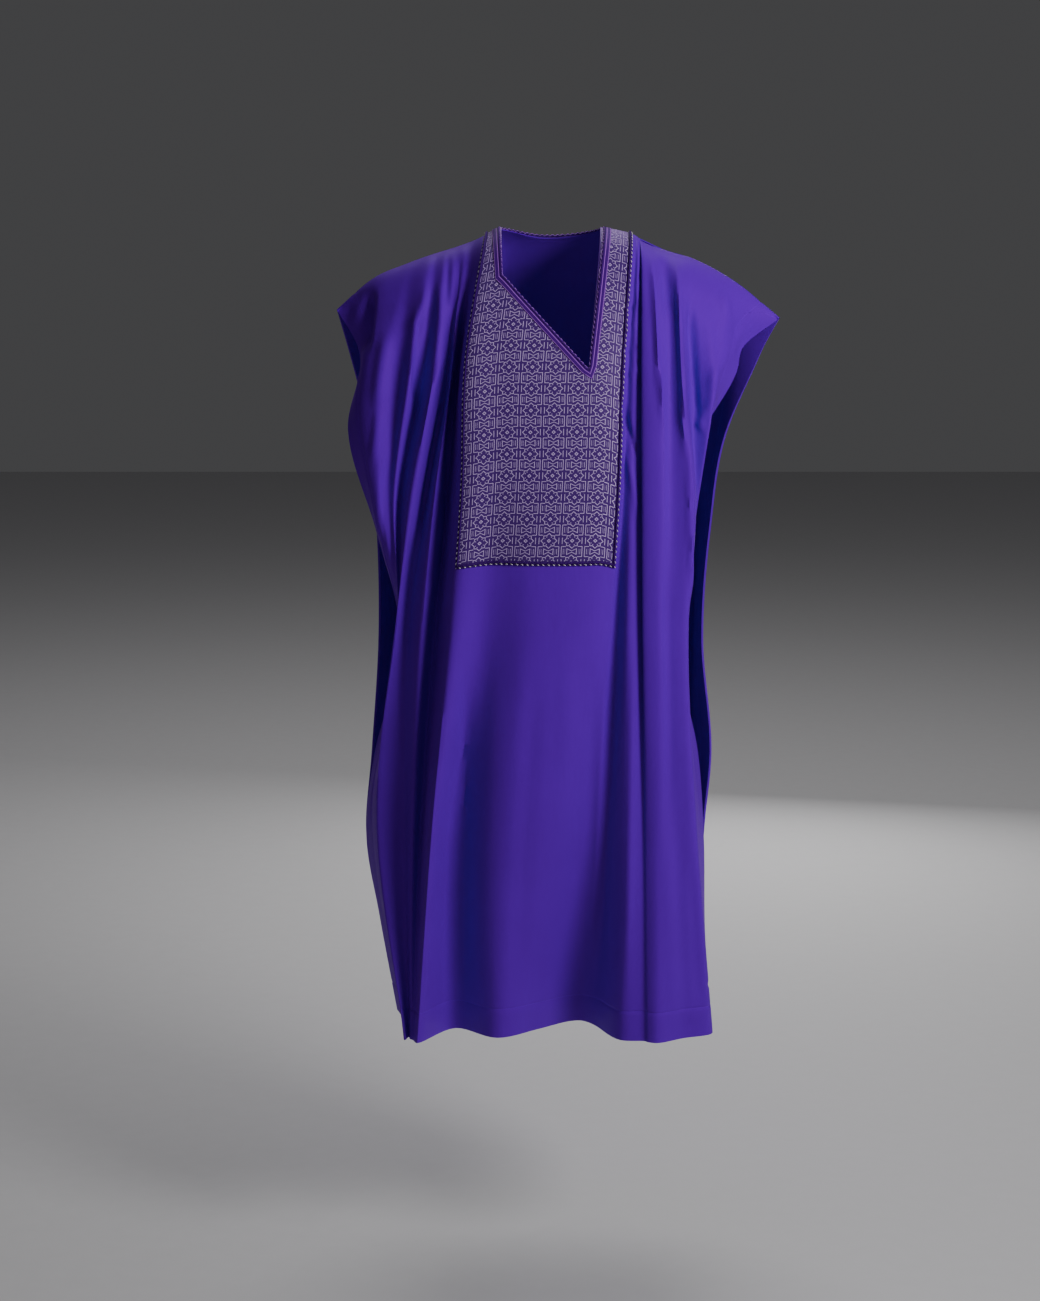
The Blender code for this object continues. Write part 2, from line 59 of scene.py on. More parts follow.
MM = 0.001
HEM_HEIGHT = -1.190           # hem level below the neck points
ROUND_OVER = 0.080            # part of the drop in which the cloth rounds over the shoulder
ROUND_RADIUS = 0.090          # mean radius of that round
SIDE_SEAM_START = 0.74        # part of the drop at which the side seams begin
PANEL_DROP = 0.402            # part of the drop at which the chest panel ends
BACK_NECK_REACH = 0.45        # reach of the back neck scoop, as a part of the round's depth
SEAM_GAP = 0.0003             # clearance between pieces that are sewn together
SEAM_SLIT = 0.00004           # what shows between the two sheets at a sewn edge
NECK_SCOOP_SIDES = 24         # sides of the back neck scoop as it is cut
NECK_SCOOP_STEPS = 48         # steps of the binding along that scoop
NECK_RIGHT_STEPS = 60         # and along the three sides of the front opening
NECK_SLANT_STEPS = 48
NECK_LEFT_STEPS = 28
NECK_EASE = 1.5               # how much closer the steps are at the shoulder seam
NECK_SEARCH_COLUMNS = 90      # columns tried to find a place across the cloth
NECK_AT_SEAM = 2 * MM         # the binding faces up this near the shoulder seam
NECK_BEHIND = 30 * MM         # the binding comes down off the panel's level over this
MITRE_LIMIT = 1.35            # longest mitre at a corner of the neck binding
HEM_TURNING = 45 * MM
SLEEVE_TURNING = 37 * MM
CLOTH_RUN = 1.14              # length of cloth in one whole drop
CUT_ABOVE = 0.05              # how far the neck cuts run past the cloth
CUT_REACH = 30 * MM           # faces within this of a cut's corners are split by it
HEM_SOFT = 1.5 * MM           # how softly the turned hem and the sleeve turnings begin
CUFF_SOFT = 2 * MM
TURNED_RISE = 0.25 * MM       # how far turned cloth stands out, and its extra thickness
TURNED_EXTRA = 0.9
STITCH_SINK = 0.8 * MM        # how far the stitches draw the cloth in
HEM_DIMPLE = 1.6 * MM         # half width of what they draw in, at the hem and the sleeves
CUFF_DIMPLE = 3 * MM
SEAM_TAPER = 0.015            # part of the drop over which the sleeve turnings end
CREASES_START = 0.03          # part of the drop over which creases grow from the shoulders
SEWN_BAND = 0.06              # part of the drop over which they fade into the side seam
SEWN_COLUMNS = 0.8            # fold lines from that seam over which they fade
HAIR = 1e-6                   # slack where places are compared
SEAM_SLACK = 1e-3             # part of the drop by which a sewn edge starts early
ROPE_STRANDS = 3              # strands of the braid and of the piping
STRAND_SHARE = 0.28           # a strand's radius as a part of the rope's diameter
THREAD_SIDES = 6              # sides of a strand's cross-section
ROPE_STEPS = 8                # steps along a strand in one twist, and along the light thread
FLECK_STEPS = 12
BRAID_TAPE = 0.5 * MM         # thickness of the tape under the braid
BRAID_ROPE_AT = 0.60          # where the rope lies across the tape
BRAID_FLECK_AT = 0.20         # where the light thread lies across it
BRAID_ROPE_LIFT = 0.36        # height of the rope's middle, as a part of its diameter
BRAID_CORNER = 0.4            # where the lower braid starts, as a part of the tape's width
FLECK_RISE = 2.0              # the light thread's way up, down and aside, in its own radius
FLECK_SINK = 0.9
FLECK_SWAY = 0.8
MOTIF_START = 6.5 * MM        # where the first motif of the brocade lies below the seam
PIPING_THREAD = 0.7           # light thread of the neck piping, as a part of the braid's
SHARP_ANGLE = math.radians(55)    # edges that turn more than this stay sharp
WEAVE_PITCH = 0.9 * MM
STITCH_PITCH = 3.2 * MM
STITCH_HALF = 0.45 * MM       # half width of a line of stitches
STITCH_SOFT = 0.2 * MM

# crowns of the braid's tape and of the binding: share of the width, and height
TAPE_CROWN = (
    (0.0, 0.0), (0.03, 0.7), (0.12, 1.0), (0.5, 1.15), (0.88, 1.0), (0.97, 0.7), (1.0, 0.0),
)
BINDING_CROWN = (
    (0.0, 0.0), (0.03, 0.7), (0.10, 1.0), (0.30, 1.2), (0.50, 1.0), (0.70, 1.2), (0.90, 1.0),
    (0.97, 0.7), (1.0, 0.0),
)
BINDING_RISE = 0.9 * MM       # height of the binding's crown at one
FOOT_SHARES = (0.1, 0.9)      # where the lines of the underside lie across either

# lines of the piping: distance in from the neck edge, and height
PIPING_THREAD_LINE = (0.2 * MM, 0.7 * MM)
PIPING_ROPE_LINE = (2.2 * MM, 1.1 * MM)

# levels of the fold tables, as parts of each line's own drop from shoulder to hem
ACROSS_LEVELS = (0.0, 0.16, 0.30, 0.46, 0.72, 1.0)
OUT_LEVELS = (0.05, 0.16, 0.30, 0.46, 0.72, 1.0)

Fold = namedtuple("Fold", "name across out")

#     name             top chest rib waist thigh hem         yoke chest rib waist thigh hem
FRONT_FOLDS = (
    Fold("wing_left", (-258, -274, -257, -224, -275, -231), (46, 84, 94, 54, 20, 18)),
    Fold("ridge_1", (-215, -250, -248, -223, -269, -226), (60, 92, 100, 66, 38, 36)),
    Fold("dip_1", (-203, -222, -236, -223, -266, -222), (64, 86, 94, 78, 52, 55)),
    Fold("ridge_2", (-178, -206, -228, -225, -262, -219), (73, 102, 98, 90, 66, 80)),
    Fold("valley_2", (-167, -189, -220, -222, -257, -218), (70, 82, 84, 92, 80, 116)),
    Fold("ridge_3", (-152, -171, -202, -227, -259, -217), (77, 106, 110, 100, 92, 146)),
    Fold("valley_3", (-140, -151, -181, -210, -220, -212), (75, 86, 91, 92, 90, 132)),
    Fold("ridge_4", (-130, -145, -168, -187, -204, -209), (77, 104, 117, 120, 112, 142)),
    Fold("valley_4", (-115, -136, -151, -169, -192, -205), (72, 76, 84, 92, 100, 146)),
    Fold("panel_left", (-97, -125, -130, -144, -174, -198), (84, 122, 140, 152, 158, 160)),
    Fold("neck_left", (-75, -75, -78, -94, -141, -143), (86, 125, 143, 144, 119, 90)),
    Fold("ridge_6", (-31, -31, -30, -36, -72, -80), (88, 127, 147, 158, 161, 136)),
    Fold("middle", (9, 9, 8, 6, -6, -18), (88, 128, 149, 159, 154, 94)),
    Fold("vee_point", (52, 52, 47, 42, 28, 28), (88, 128, 149, 156, 138, 58)),
    Fold("neck_right", (76, 76, 74, 68, 50, 46), (87, 126, 147, 150, 130, 54)),
    Fold("panel_right", (118, 103, 97, 86, 68, 57), (84, 121, 142, 141, 129, 62)),
    Fold("valley_6", (123, 109, 103, 94, 84, 68), (80, 115, 134, 134, 134, 78)),
    Fold("ridge_7", (126, 117, 114, 110, 110, 103), (83, 119, 139, 151, 157, 146)),
    Fold("pleat_under", (128, 138, 139, 137, 134, 139), (74, 110, 129, 143, 152, 151)),
    Fold("pleat_edge", (130, 127, 128, 130, 138, 144), (88, 126, 146, 156, 157, 156)),
    Fold("ridge_8", (145, 154, 156, 154, 156, 158), (90, 131, 151, 160, 162, 160)),
    Fold("dip_8", (168, 169, 171, 172, 181, 198), (84, 122, 143, 151, 152, 137)),
    Fold("ridge_9", (183, 187, 204, 196, 211, 240), (88, 127, 144, 146, 146, 118)),
    Fold("valley_9", (206, 200, 206, 195, 214, 243), (76, 95, 112, 110, 106, 86)),
    Fold("wing_right", (262, 232, 210, 193, 222, 244), (58, 102, 104, 82, 56, 44)),
)

#     name            top chest rib waist thigh hem          yoke chest rib waist thigh hem
BACK_FOLDS = (
    Fold("wing_left", (-262, -262, -256, -256, -268, -230), (-44, -68, -82, -84, -66, -50)),
    Fold("ridge_1", (-212, -236, -243, -246, -250, -214), (-70, -104, -122, -128, -126, -132)),
    Fold("dip_1", (-178, -200, -212, -216, -216, -172), (-74, -106, -122, -126, -122, -120)),
    Fold("ridge_2", (-140, -156, -170, -176, -172, -124), (-87, -126, -148, -156, -160, -172)),
    Fold("valley_2", (-112, -112, -118, -122, -116, -78), (-82, -118, -134, -138, -132, -112)),
    Fold("ridge_3", (-72, -66, -62, -62, -62, -34), (-89, -131, -153, -161, -162, -160)),
    Fold("dip_3", (-16, -14, -12, -10, -8, 6), (-88, -129, -148, -154, -150, -134)),
    Fold("ridge_4", (46, 44, 42, 42, 42, 56), (-89, -131, -153, -163, -168, -176)),
    Fold("valley_4", (92, 88, 86, 84, 84, 98), (-86, -122, -138, -142, -136, -112)),
    Fold("ridge_5", (128, 130, 134, 138, 142, 146), (-88, -128, -148, -156, -158, -158)),
    Fold("valley_5", (166, 172, 178, 182, 186, 190), (-78, -108, -120, -122, -116, -104)),
    Fold("ridge_6", (212, 220, 224, 220, 220, 226), (-70, -102, -116, -118, -114, -118)),
    Fold("wing_right", (270, 258, 240, 228, 232, 242), (-44, -70, -78, -76, -62, -52)),
)

# the sheets' own outer edges: free sleeve openings above, side seams below
Edge = namedtuple("Edge", "drop front_across front_out back_across back_out")
LEFT_EDGE = (
    Edge(0.00, -316, 0, -316, 0),
    Edge(0.05, -284, 20, -302, -16),
    Edge(0.16, -297, 62, -276, -40),
    Edge(0.30, -256, 74, -264, -52),
    Edge(0.46, -222, 40, -262, -48),
    Edge(0.62, -266, 11, -272, -18),
    Edge(SIDE_SEAM_START, -281, 0, -281, 0),
    Edge(0.86, -262, 0, -262, 0),
    Edge(1.00, -236, 0, -236, 0),
)
RIGHT_EDGE = (
    Edge(0.00, 337, 0, 337, 0),
    Edge(0.04, 282, 14, 316, -15),
    Edge(0.07, 273, 30, 303, -23),
    Edge(0.16, 217, 72, 266, -46),
    Edge(0.30, 200, 78, 244, -58),
    Edge(0.46, 190, 50, 234, -50),
    Edge(0.62, 224, 14, 246, -16),
    Edge(SIDE_SEAM_START, 235, 0, 235, 0),
    Edge(0.86, 238, 0, 238, 0),
    Edge(1.00, 243, 0, 243, 0),
)

# the shoulder seam seen from the front: distance from the middle and height
SeamPoint = namedtuple("SeamPoint", "across height")
SHOULDER_LEFT = (
    SeamPoint(-316, -118), SeamPoint(-300, -102), SeamPoint(-258, -70),
    SeamPoint(-215, -52), SeamPoint(-179, -39), SeamPoint(-143, -28),
    SeamPoint(-110, -16), SeamPoint(-78, 0),
)
SHOULDER_RIGHT = (
    SeamPoint(78, 0), SeamPoint(112, -7), SeamPoint(126, -12),
    SeamPoint(134, -21), SeamPoint(150, -25), SeamPoint(177, -35),
    SeamPoint(204, -42), SeamPoint(233, -56), SeamPoint(267, -75),
    SeamPoint(300, -97), SeamPoint(337, -130),
)

# the neck opening in the front, seen from the front: a slanted V
FRONT_NECK = (
    SeamPoint(-75, 0), SeamPoint(-71, -68), SeamPoint(52, -200), SeamPoint(76, 0),
)

# Fine creases, seen square to the robe: both ends (across, height), sideways bow, half
# width, and height out of the cloth, which is negative in a trough.
Crease = namedtuple("Crease", "across height end_across end_height bow half_width lift")
FRONT_CREASES = (
    # left wing and sleeve edge
    Crease(-264, -84, -272, -180, 0, 12, -12),
    Crease(-284, -96, -292, -150, -2, 12, 3),
    Crease(-236, -140, -252, -270, 3, 15, 4),
    Crease(-250, -250, -262, -340, -3, 12, 3),
    Crease(-236, -320, -244, -480, 4, 11, -3),
    # the bundle of folds beside the panel
    Crease(-131, -14, -144, -190, 0, 9, -4),
    Crease(-150, -24, -152, -120, 0, 8, -3),
    Crease(-180, -80, -203, -150, -3, 9, 3),
    Crease(-186, -90, -196, -280, 3, 9, -5),
    Crease(-162, -74, -160, -140, 0, 9, 2),
    Crease(-146, -150, -190, -330, 6, 6, 3),
    Crease(-146, -200, -196, -470, 4, 6, -4),
    Crease(-133, -170, -158, -450, 4, 6, -5),
    Crease(-150, -300, -178, -560, -2, 8, 3),
    Crease(-196, -420, -214, -640, 4, 9, -3),
    Crease(-150, -520, -172, -800, 4, 10, -3),
    # strip between the braid and the knife pleat
    Crease(98, -122, 124, -100, 2, 5, -3),
    Crease(100, -150, 122, -132, 1, 6, 2),
    Crease(100, -180, 124, -168, -2, 5, -3),
    Crease(102, -214, 126, -196, 1, 6, 2),
    Crease(98, -232, 128, -330, 5, 7, -4),
    Crease(100, -300, 122, -420, -4, 8, 2.5),
    # right shoulder and wing
    Crease(142, -26, 160, -300, 2, 5, 5.5),
    Crease(161, -36, 166, -130, -1, 12, -4),
    Crease(180, -42, 191, -340, 1, 6, 7),
    Crease(196, -300, 204, -580, 1, 5, 3),
    Crease(198, -90, 208, -300, -1, 9, -8),
    Crease(216, -190, 220, -285, 2, 20, -3),
    Crease(206, -268, 224, -292, 2, 6, 2.5),
    Crease(250, -84, 262, -150, 3, 13, 3.5),
    Crease(284, -134, 262, -176, -2, 9, 3),
    Crease(236, -120, 240, -230, -4, 14, -3),
    Crease(258, -176, 226, -236, 4, 12, 3),
    Crease(240, -236, 212, -292, 6, 9, 2.5),
    # long soft folds of the skirt
    Crease(-122, -590, -132, -1180, 3, 15, -6),
    Crease(94, -560, 68, -1180, 2, 13, -6),
    Crease(118, -560, 112, -1150, 0, 8, 3),
    Crease(-72, -560, -104, -1190, 6, 22, 2.5),
    Crease(-20, -590, -52, -1200, 4, 20, -2.5),
    Crease(24, -560, 14, -1100, -4, 24, 2),
    Crease(62, -620, 56, -1010, 0, 16, -2),
    Crease(160, -420, 172, -900, -3, 12, -2.5),
    Crease(170, -840, 188, -1185, 3, 16, 2.5),
    Crease(206, -900, 226, -1180, 2, 12, -2.5),
    # puckers above the hem
    Crease(212, -1128, 246, -1108, 1, 5, -1.6),
    Crease(196, -1166, 240, -1150, -1, 5, 1.4),
    Crease(-60, -1160, -30, -1142, 0, 6, 1.0),
    Crease(-190, -1150, -170, -1128, 0, 6, 1.0),
    Crease(96, -1160, 120, -1140, 0, 6, 1.0),
)
BACK_CREASES = (
    Crease(-60, -30, -96, -220, 6, 12, 2.5),
    Crease(52, -28, 100, -240, -5, 12, 2.5),
    Crease(-24, -80, -40, -330, 3, 14, -2.5),
    Crease(-150, -60, -196, -260, -6, 12, -4),
    Crease(-196, -80, -240, -230, 5, 12, 3),
    Crease(154, -64, 206, -250, 6, 12, -4),
    Crease(210, -90, 250, -230, -6, 12, 3),
    Crease(-230, -250, -250, -430, 6, 12, -3.5),
    Crease(222, -250, 236, -430, -5, 12, -3.5),
    Crease(-132, -250, -148, -640, 4, 14, 3),
    Crease(-88, -300, -96, -760, -5, 12, -3),
    Crease(8, -260, 12, -720, 5, 18, 2.5),
    Crease(70, -330, 60, -900, -4, 12, -3),
    Crease(110, -280, 122, -620, 3, 12, 2.5),
    Crease(160, -420, 168, -980, -4, 12, 3),
    Crease(204, -520, 206, -1100, 3, 12, -3),
    Crease(-190, -480, -196, -1080, -4, 12, -3),
    Crease(-224, -560, -226, -1150, 3, 12, 3),
    Crease(-54, -640, -30, -1180, 5, 16, -3),
    Crease(30, -760, 44, -1190, 3, 14, 3),
    Crease(-140, -760, -110, -1185, -4, 14, 3),
    Crease(120, -820, 130, -1185, 4, 14, 2.5),
    Crease(-20, -1160, 10, -1142, 0, 6, 1.0),
    Crease(150, -1158, 176, -1138, 0, 6, 1.0),
)


def length_property(name, description, default):
    return FloatProperty(name=name, description=description, default=default, unit="LENGTH")


class RobeSizes(bpy.types.PropertyGroup):
    """Sizes of the robe's cloth, braid and stitching."""

    wall: length_property("Cloth", "Thickness of the robe's cloth", 1.5 * MM)
    hem_turning: length_property("Hem turning", "Depth of the turned hem", HEM_TURNING)
    sleeve_turning: length_property(
        "Sleeve turning", "Depth of the turned sleeve edge", SLEEVE_TURNING)
    panel_wall: length_property("Brocade", "Thickness of the chest panel", 0.9 * MM)
    panel_width: length_property(
        "Panel width", "Width that the chest panel is cut to", 231 * MM)
    motif_columns: IntProperty(
        name="Motifs across", description="Rosettes across the chest panel", default=7)
    motif_height: length_property(
        "Motif height", "Height of one repeat of the brocade", 31 * MM)
    braid_width: length_property("Braid tape", "Width of the tape under the rope braid", 6.4 * MM)
    braid_rope: length_property("Braid rope", "Diameter of the twisted rope on the tape", 2.9 * MM)
    braid_pitch: length_property("Braid twist", "Length of one twist of the rope", 7.6 * MM)
    fleck: length_property(
        "Light thread", "Radius of the light thread on the braid", 0.75 * MM)
    binding_width: length_property("Neck binding", "Width of the binding round the neck", 11 * MM)
    piping: length_property("Neck piping", "Diameter of the rope along the neck edge", 2.0 * MM)
    piping_pitch: length_property("Piping twist", "Length of one twist of the piping", 7.6 * MM)


def colour_property(name, description, default):
    return FloatVectorProperty(
        name=name, description=description, default=default, subtype="COLOR",
        min=0.0, max=1.0)


class RobeColours(bpy.types.PropertyGroup):
    """Colours of the cloths and threads."""

    cloth: colour_property("Cloth", "Robe cloth", (0.150, 0.000, 0.640))
    cloth_deep: colour_property(
        "Cloth, deep", "Robe cloth where it is darker", (0.115, 0.000, 0.480))
    brocade_light: colour_property("Brocade thread", "Raised thread", (0.760, 0.560, 1.000))
    brocade_ground: colour_property(
        "Brocade ground", "Cloth under the figure", (0.036, 0.001, 0.130))
    braid: colour_property("Braid", "Purple strands of the rope", (0.050, 0.002, 0.170))
    fleck: colour_property("Fleck", "Light thread of the braid", (0.980, 0.800, 1.000))
    piping: colour_property("Piping", "Light thread of the neck piping", (0.480, 0.180, 0.800))
    binding: colour_property("Binding", "Neck binding", (0.075, 0.003, 0.250))
    stitching: colour_property(
        "Stitching", "Lines sewn along the binding", (0.560, 0.200, 0.900))


# ---------------------------------------------------------------- cloth surfaces

def smooth_curve(places, values, wanted):
    """Smooth curve through the values at their places, read at every wanted place."""
    places, values = np.asarray(places, float), np.asarray(values, float)
    widths = np.diff(places)
    rises = np.diff(values) / widths
    inner = (rises[:-1] * widths[1:] + rises[1:] * widths[:-1]) / (widths[:-1] + widths[1:])
    slopes = np.concatenate((rises[:1], inner, rises[-1:]))
    span = np.clip(np.searchsorted(places, wanted) - 1, 0, len(widths) - 1)
    width = widths[span]
    part = (wanted - places[span]) / width
    ease = part * part * (3 - 2 * part)
    pull = width * part * (1 - part) * ((1 - part) * slopes[span] - part * slopes[span + 1])
    return values[span] * (1 - ease) + values[span + 1] * ease + pull


def smooth_step(value, low, high):
    """Zero below low, one above high, and a soft rise between them."""
    part = np.clip((value - low) / (high - low), 0.0, 1.0)
    return part * part * (3 - 2 * part)


def unit_rows(vectors):
    return vectors / np.linalg.norm(vectors, axis=-1, keepdims=True)


def shoulder_height(across):
    """Height of the shoulder seam at a distance from the middle."""
    table = SHOULDER_LEFT if across < 0 else SHOULDER_RIGHT
    places = [point.across * MM for point in table]
    if places[0] <= across <= places[-1]:
        return float(smooth_curve(places, [point.height * MM for point in table], across))
    return 0.0


class FoldLine:
    """One line of a sheet from the shoulder seam to the hem."""

    def __init__(self, across_places, across, out_places, out, rounds=True):
        self.across_places, self.out_places = across_places, out_places
        self.across = np.array(across) * MM
        self.out = np.array(out) * MM
        self.rounds = rounds
        self.top = shoulder_height(self.across[0])

    def points(self, drops):
        across = smooth_curve(self.across_places, self.across, drops)
        out = smooth_curve(self.out_places, self.out, np.maximum(drops, self.out_places[0]))
        if self.rounds:
            left = np.clip(1 - drops / ROUND_OVER, 0.0, 1.0)
            out = out * np.sqrt(1 - left * left)
        height = self.top + (HEM_HEIGHT - self.top) * drops
        return np.stack((across, -out, height), axis=-1)


class ClothSheet:
    """A cloth sheet that hangs from the shoulder seam through its fold lines."""

    def __init__(self, folds, edges, outward, creases):
        self.outward = outward
        self.creases = creases
        self.names = ["edge_left"] + [fold.name for fold in folds] + ["edge_right"]
        lines = [FoldLine(ACROSS_LEVELS, fold.across, OUT_LEVELS, fold.out) for fold in folds]
        self.lines = [self.edge_line(edges[0])] + lines + [self.edge_line(edges[1])]
        self.last = len(self.lines) - 1

    def edge_line(self, edge):
        drops = [row.drop for row in edge]
        if self.outward < 0:
            across, out = [row.front_across for row in edge], [row.front_out for row in edge]
        else:
            across, out = [row.back_across for row in edge], [row.back_out for row in edge]
        return FoldLine(drops, across, drops, out, rounds=False)

    def column(self, name):
        return self.names.index(name)

    def form(self, columns, drops):
        """Points of the sheet at columns, which may lie between fold lines, and drops."""
        shape = np.broadcast(columns, drops).shape
        columns = np.broadcast_to(columns, shape).ravel().astype(float)
        drops = np.broadcast_to(drops, shape).ravel().astype(float)
        lines = np.stack([line.points(drops) for line in self.lines])
        every = np.arange(len(drops))
        span = np.clip(np.floor(columns).astype(int), 0, self.last - 1)
        part = (columns - span)[:, None]
        before = lines[np.maximum(span - 1, 0), every]
        here, there = lines[span, every], lines[span + 1, every]
        after = lines[np.minimum(span + 2, self.last), every]

        def root_length(way):
            return np.sqrt(np.maximum(np.linalg.norm(way, axis=-1, keepdims=True), 1e-12))

        width = root_length(there - here)
        to_before, to_after = root_length(here - before), root_length(after - there)
        straight = (there - here) / width
        start = ((here - before) / to_before * width + straight * to_before) / (to_before + width)
        end = (straight * to_after + (after - there) / to_after * width) / (width + to_after)
        start = np.where((span == 0)[:, None], straight, start)
        end = np.where((span == self.last - 1)[:, None], straight, end)
        ease = part * part * (3 - 2 * part)
        pull = part * (1 - part) * width * ((1 - part) * start - part * end)
        return (here * (1 - ease) + there * ease + pull).reshape(*shape, 3)

    def facing(self, columns, drops):
        """Unit directions out of the robe."""
        side, down = 0.02, 0.003
        across = self.form(np.minimum(columns + side, self.last), drops)
        across = across - self.form(np.maximum(columns - side, 0), drops)
        along = self.form(columns, np.minimum(drops + down, 1.0))
        along = along - self.form(columns, np.maximum(drops - down, 0.0))
        return unit_rows(np.cross(across, along) * self.outward)

    def surface(self, columns, drops):
        """Points and outward directions of the creased cloth."""
        points, facing = self.form(columns, drops), self.facing(columns, drops)
        columns, drops = np.broadcast_arrays(columns, drops)
        at_edge = np.minimum(columns, self.last - columns)
        on_seam = (drops < HAIR) | ((at_edge < HAIR) & (drops > SIDE_SEAM_START - SEAM_SLACK))
        facing = facing.copy()
        facing[..., 1] = np.where(on_seam, 0.0, facing[..., 1])
        facing = unit_rows(facing)
        free = smooth_step(drops, 0.0, CREASES_START)
        sewn = smooth_step(drops, SIDE_SEAM_START - SEWN_BAND, SIDE_SEAM_START)
        free = free * (1 - sewn * (1 - smooth_step(at_edge, 0.0, SEWN_COLUMNS)))
        raised = points + facing * (self.crease_lift(points) * free)[..., None]
        return self.on_own_side(raised), facing

    def on_own_side(self, points):
        """The points, kept on this sheet's side of the seams."""
        points[..., 1] = np.maximum(points[..., 1] * self.outward, SEAM_SLIT / 2) * self.outward
        return points

    def crease_lift(self, points):
        across, height = points[..., 0] / MM, points[..., 2] / MM
        lift = np.zeros(across.shape)
        for crease in self.creases:
            run = np.array((crease.end_across - crease.across, crease.end_height - crease.height))
            length = np.linalg.norm(run)
            run = run / length
            from_start = (across - crease.across, height - crease.height)
            along = (from_start[0] * run[0] + from_start[1] * run[1]) / length
            aside = from_start[0] * run[1] - from_start[1] * run[0]
            inside = np.clip(along, 0.0, 1.0)
            aside = aside - crease.bow * 4 * inside * (1 - inside)
            profile = np.cos(np.clip(aside / crease.half_width, -1, 1) * math.pi / 2) ** 2
            ends = smooth_step(np.minimum(along, 1 - along), 0.0, 0.3)
            lift += crease.lift * profile * ends
        return lift * MM


FRONT = ClothSheet(FRONT_FOLDS, (LEFT_EDGE, RIGHT_EDGE), -1, FRONT_CREASES)
BACK = ClothSheet(BACK_FOLDS, (LEFT_EDGE, RIGHT_EDGE), 1, BACK_CREASES)


def lengths_along(points, axis):
    """Distance run along the cloth from the grid's first row or column."""
    steps = np.linalg.norm(np.diff(points, axis=axis), axis=-1)
    start = np.zeros_like(np.take(steps, [0], axis=axis))
    return np.concatenate((start, np.cumsum(steps, axis=axis)), axis=axis)


def row_drops(round_rows, body_rows, final=1.0, finer=()):
    """Rows of a sheet from the shoulder seam down, closer in the round over the shoulder."""
    turns = np.linspace(0, math.pi / 2, round_rows, endpoint=False)
    drops = np.concatenate((
        ROUND_OVER * (1 - np.cos(turns)), np.linspace(ROUND_OVER, final, body_rows), finer))
    return np.unique(np.round(drops, 6))


# ---------------------------------------------------------------- meshes

def add_grid(mesh_data, points, closed=False, layers=()):
    """Grid of faces through rows of points; layers are (name, values) kept on its points."""
    rows, columns = points.shape[:2]
    kept = [(mesh_data.verts.layers.float_vector.get(name)
             or mesh_data.verts.layers.float_vector.new(name), values)
            for name, values in layers]
    made = bmesh.ops.create_grid(
        mesh_data, x_segments=columns - 1, y_segments=rows - 1, size=1.0)["verts"]
    for vert in made:
        column = round((vert.co.x + 1) / 2 * (columns - 1))
        row = round((vert.co.y + 1) / 2 * (rows - 1))
        vert.co = points[row, column]
        for layer, values in kept:
            vert[layer] = values[row, column]
    if closed:
        bmesh.ops.remove_doubles(mesh_data, verts=made, dist=1e-7)


def cut_opening(mesh_data, outline, along):
    """Cut a convex opening right through a sheet of faces.

    outline holds the opening's corners, in order, and along is the way it passes through.
    """
    outline = [Vector(corner) for corner in outline]
    middle = sum(outline, Vector()) / len(outline)
    sides = []
    for corner, following in zip(outline, outline[1:] + outline[:1]):
        facing = (following - corner).cross(Vector(along)).normalized()
        if facing.dot(middle - corner) > 0:
            facing.negate()
        sides.append((corner, facing))
    reach = max((corner - middle).length for corner in outline) + CUT_REACH
    for corner, facing in sides:
        near = [face for face in mesh_data.faces
                if (face.calc_center_median() - middle).cross(Vector(along)).length < reach]
        geometry = set(near)
        for face in near:
            geometry.update(face.edges)
            geometry.update(face.verts)
        bmesh.ops.bisect_plane(
            mesh_data, geom=list(geometry), dist=HAIR, plane_co=corner, plane_no=facing)
    opened = [
        face for face in mesh_data.faces
        if all((face.calc_center_median() - corner).dot(facing) < 0 for corner, facing in sides)
    ]
    bmesh.ops.delete(mesh_data, geom=opened, context="FACES")


def front_neck_opening():
    """The slanted V in the front, cut straight back."""
    corners = [(point.across * MM, 0.0, point.height * MM) for point in FRONT_NECK]
    corners[0] = (corners[0][0], 0.0, CUT_ABOVE)
    corners[-1] = (corners[-1][0], 0.0, CUT_ABOVE)
    return corners, (0.0, 1.0, 0.0)


def back_neck_opening():
    """The half round scoop in the back, cut straight down."""
    left, right = FRONT_NECK[0].across * MM, FRONT_NECK[-1].across * MM
    middle, half = (left + right) / 2, (right - left) / 2
    deep = BACK.form(BACK.column("dip_3"), ROUND_OVER)[1] * BACK_NECK_REACH
    corners = [(left, -CUT_ABOVE, 0.0)]
    for index in range(NECK_SCOOP_SIDES + 1):
        turn = math.pi * index / NECK_SCOOP_SIDES
        corners.append((middle - half * math.cos(turn), deep * math.sin(turn), 0.0))
    corners.append((right, -CUT_ABOVE, 0.0))
    return corners, (0.0, 0.0, 1.0)


def give_thickness(mesh_data):
    """Close a sheet of faces into a wall along its points' inward layer."""
    inward = mesh_data.verts.layers.float_vector["inward"]
    wall = bmesh.ops.extrude_face_region(mesh_data, geom=mesh_data.faces[:])
    for item in wall["geom"]:
        if isinstance(item, bmesh.types.BMVert):
            item.co += item[inward]
    bmesh.ops.recalc_face_normals(mesh_data, faces=mesh_data.faces[:])


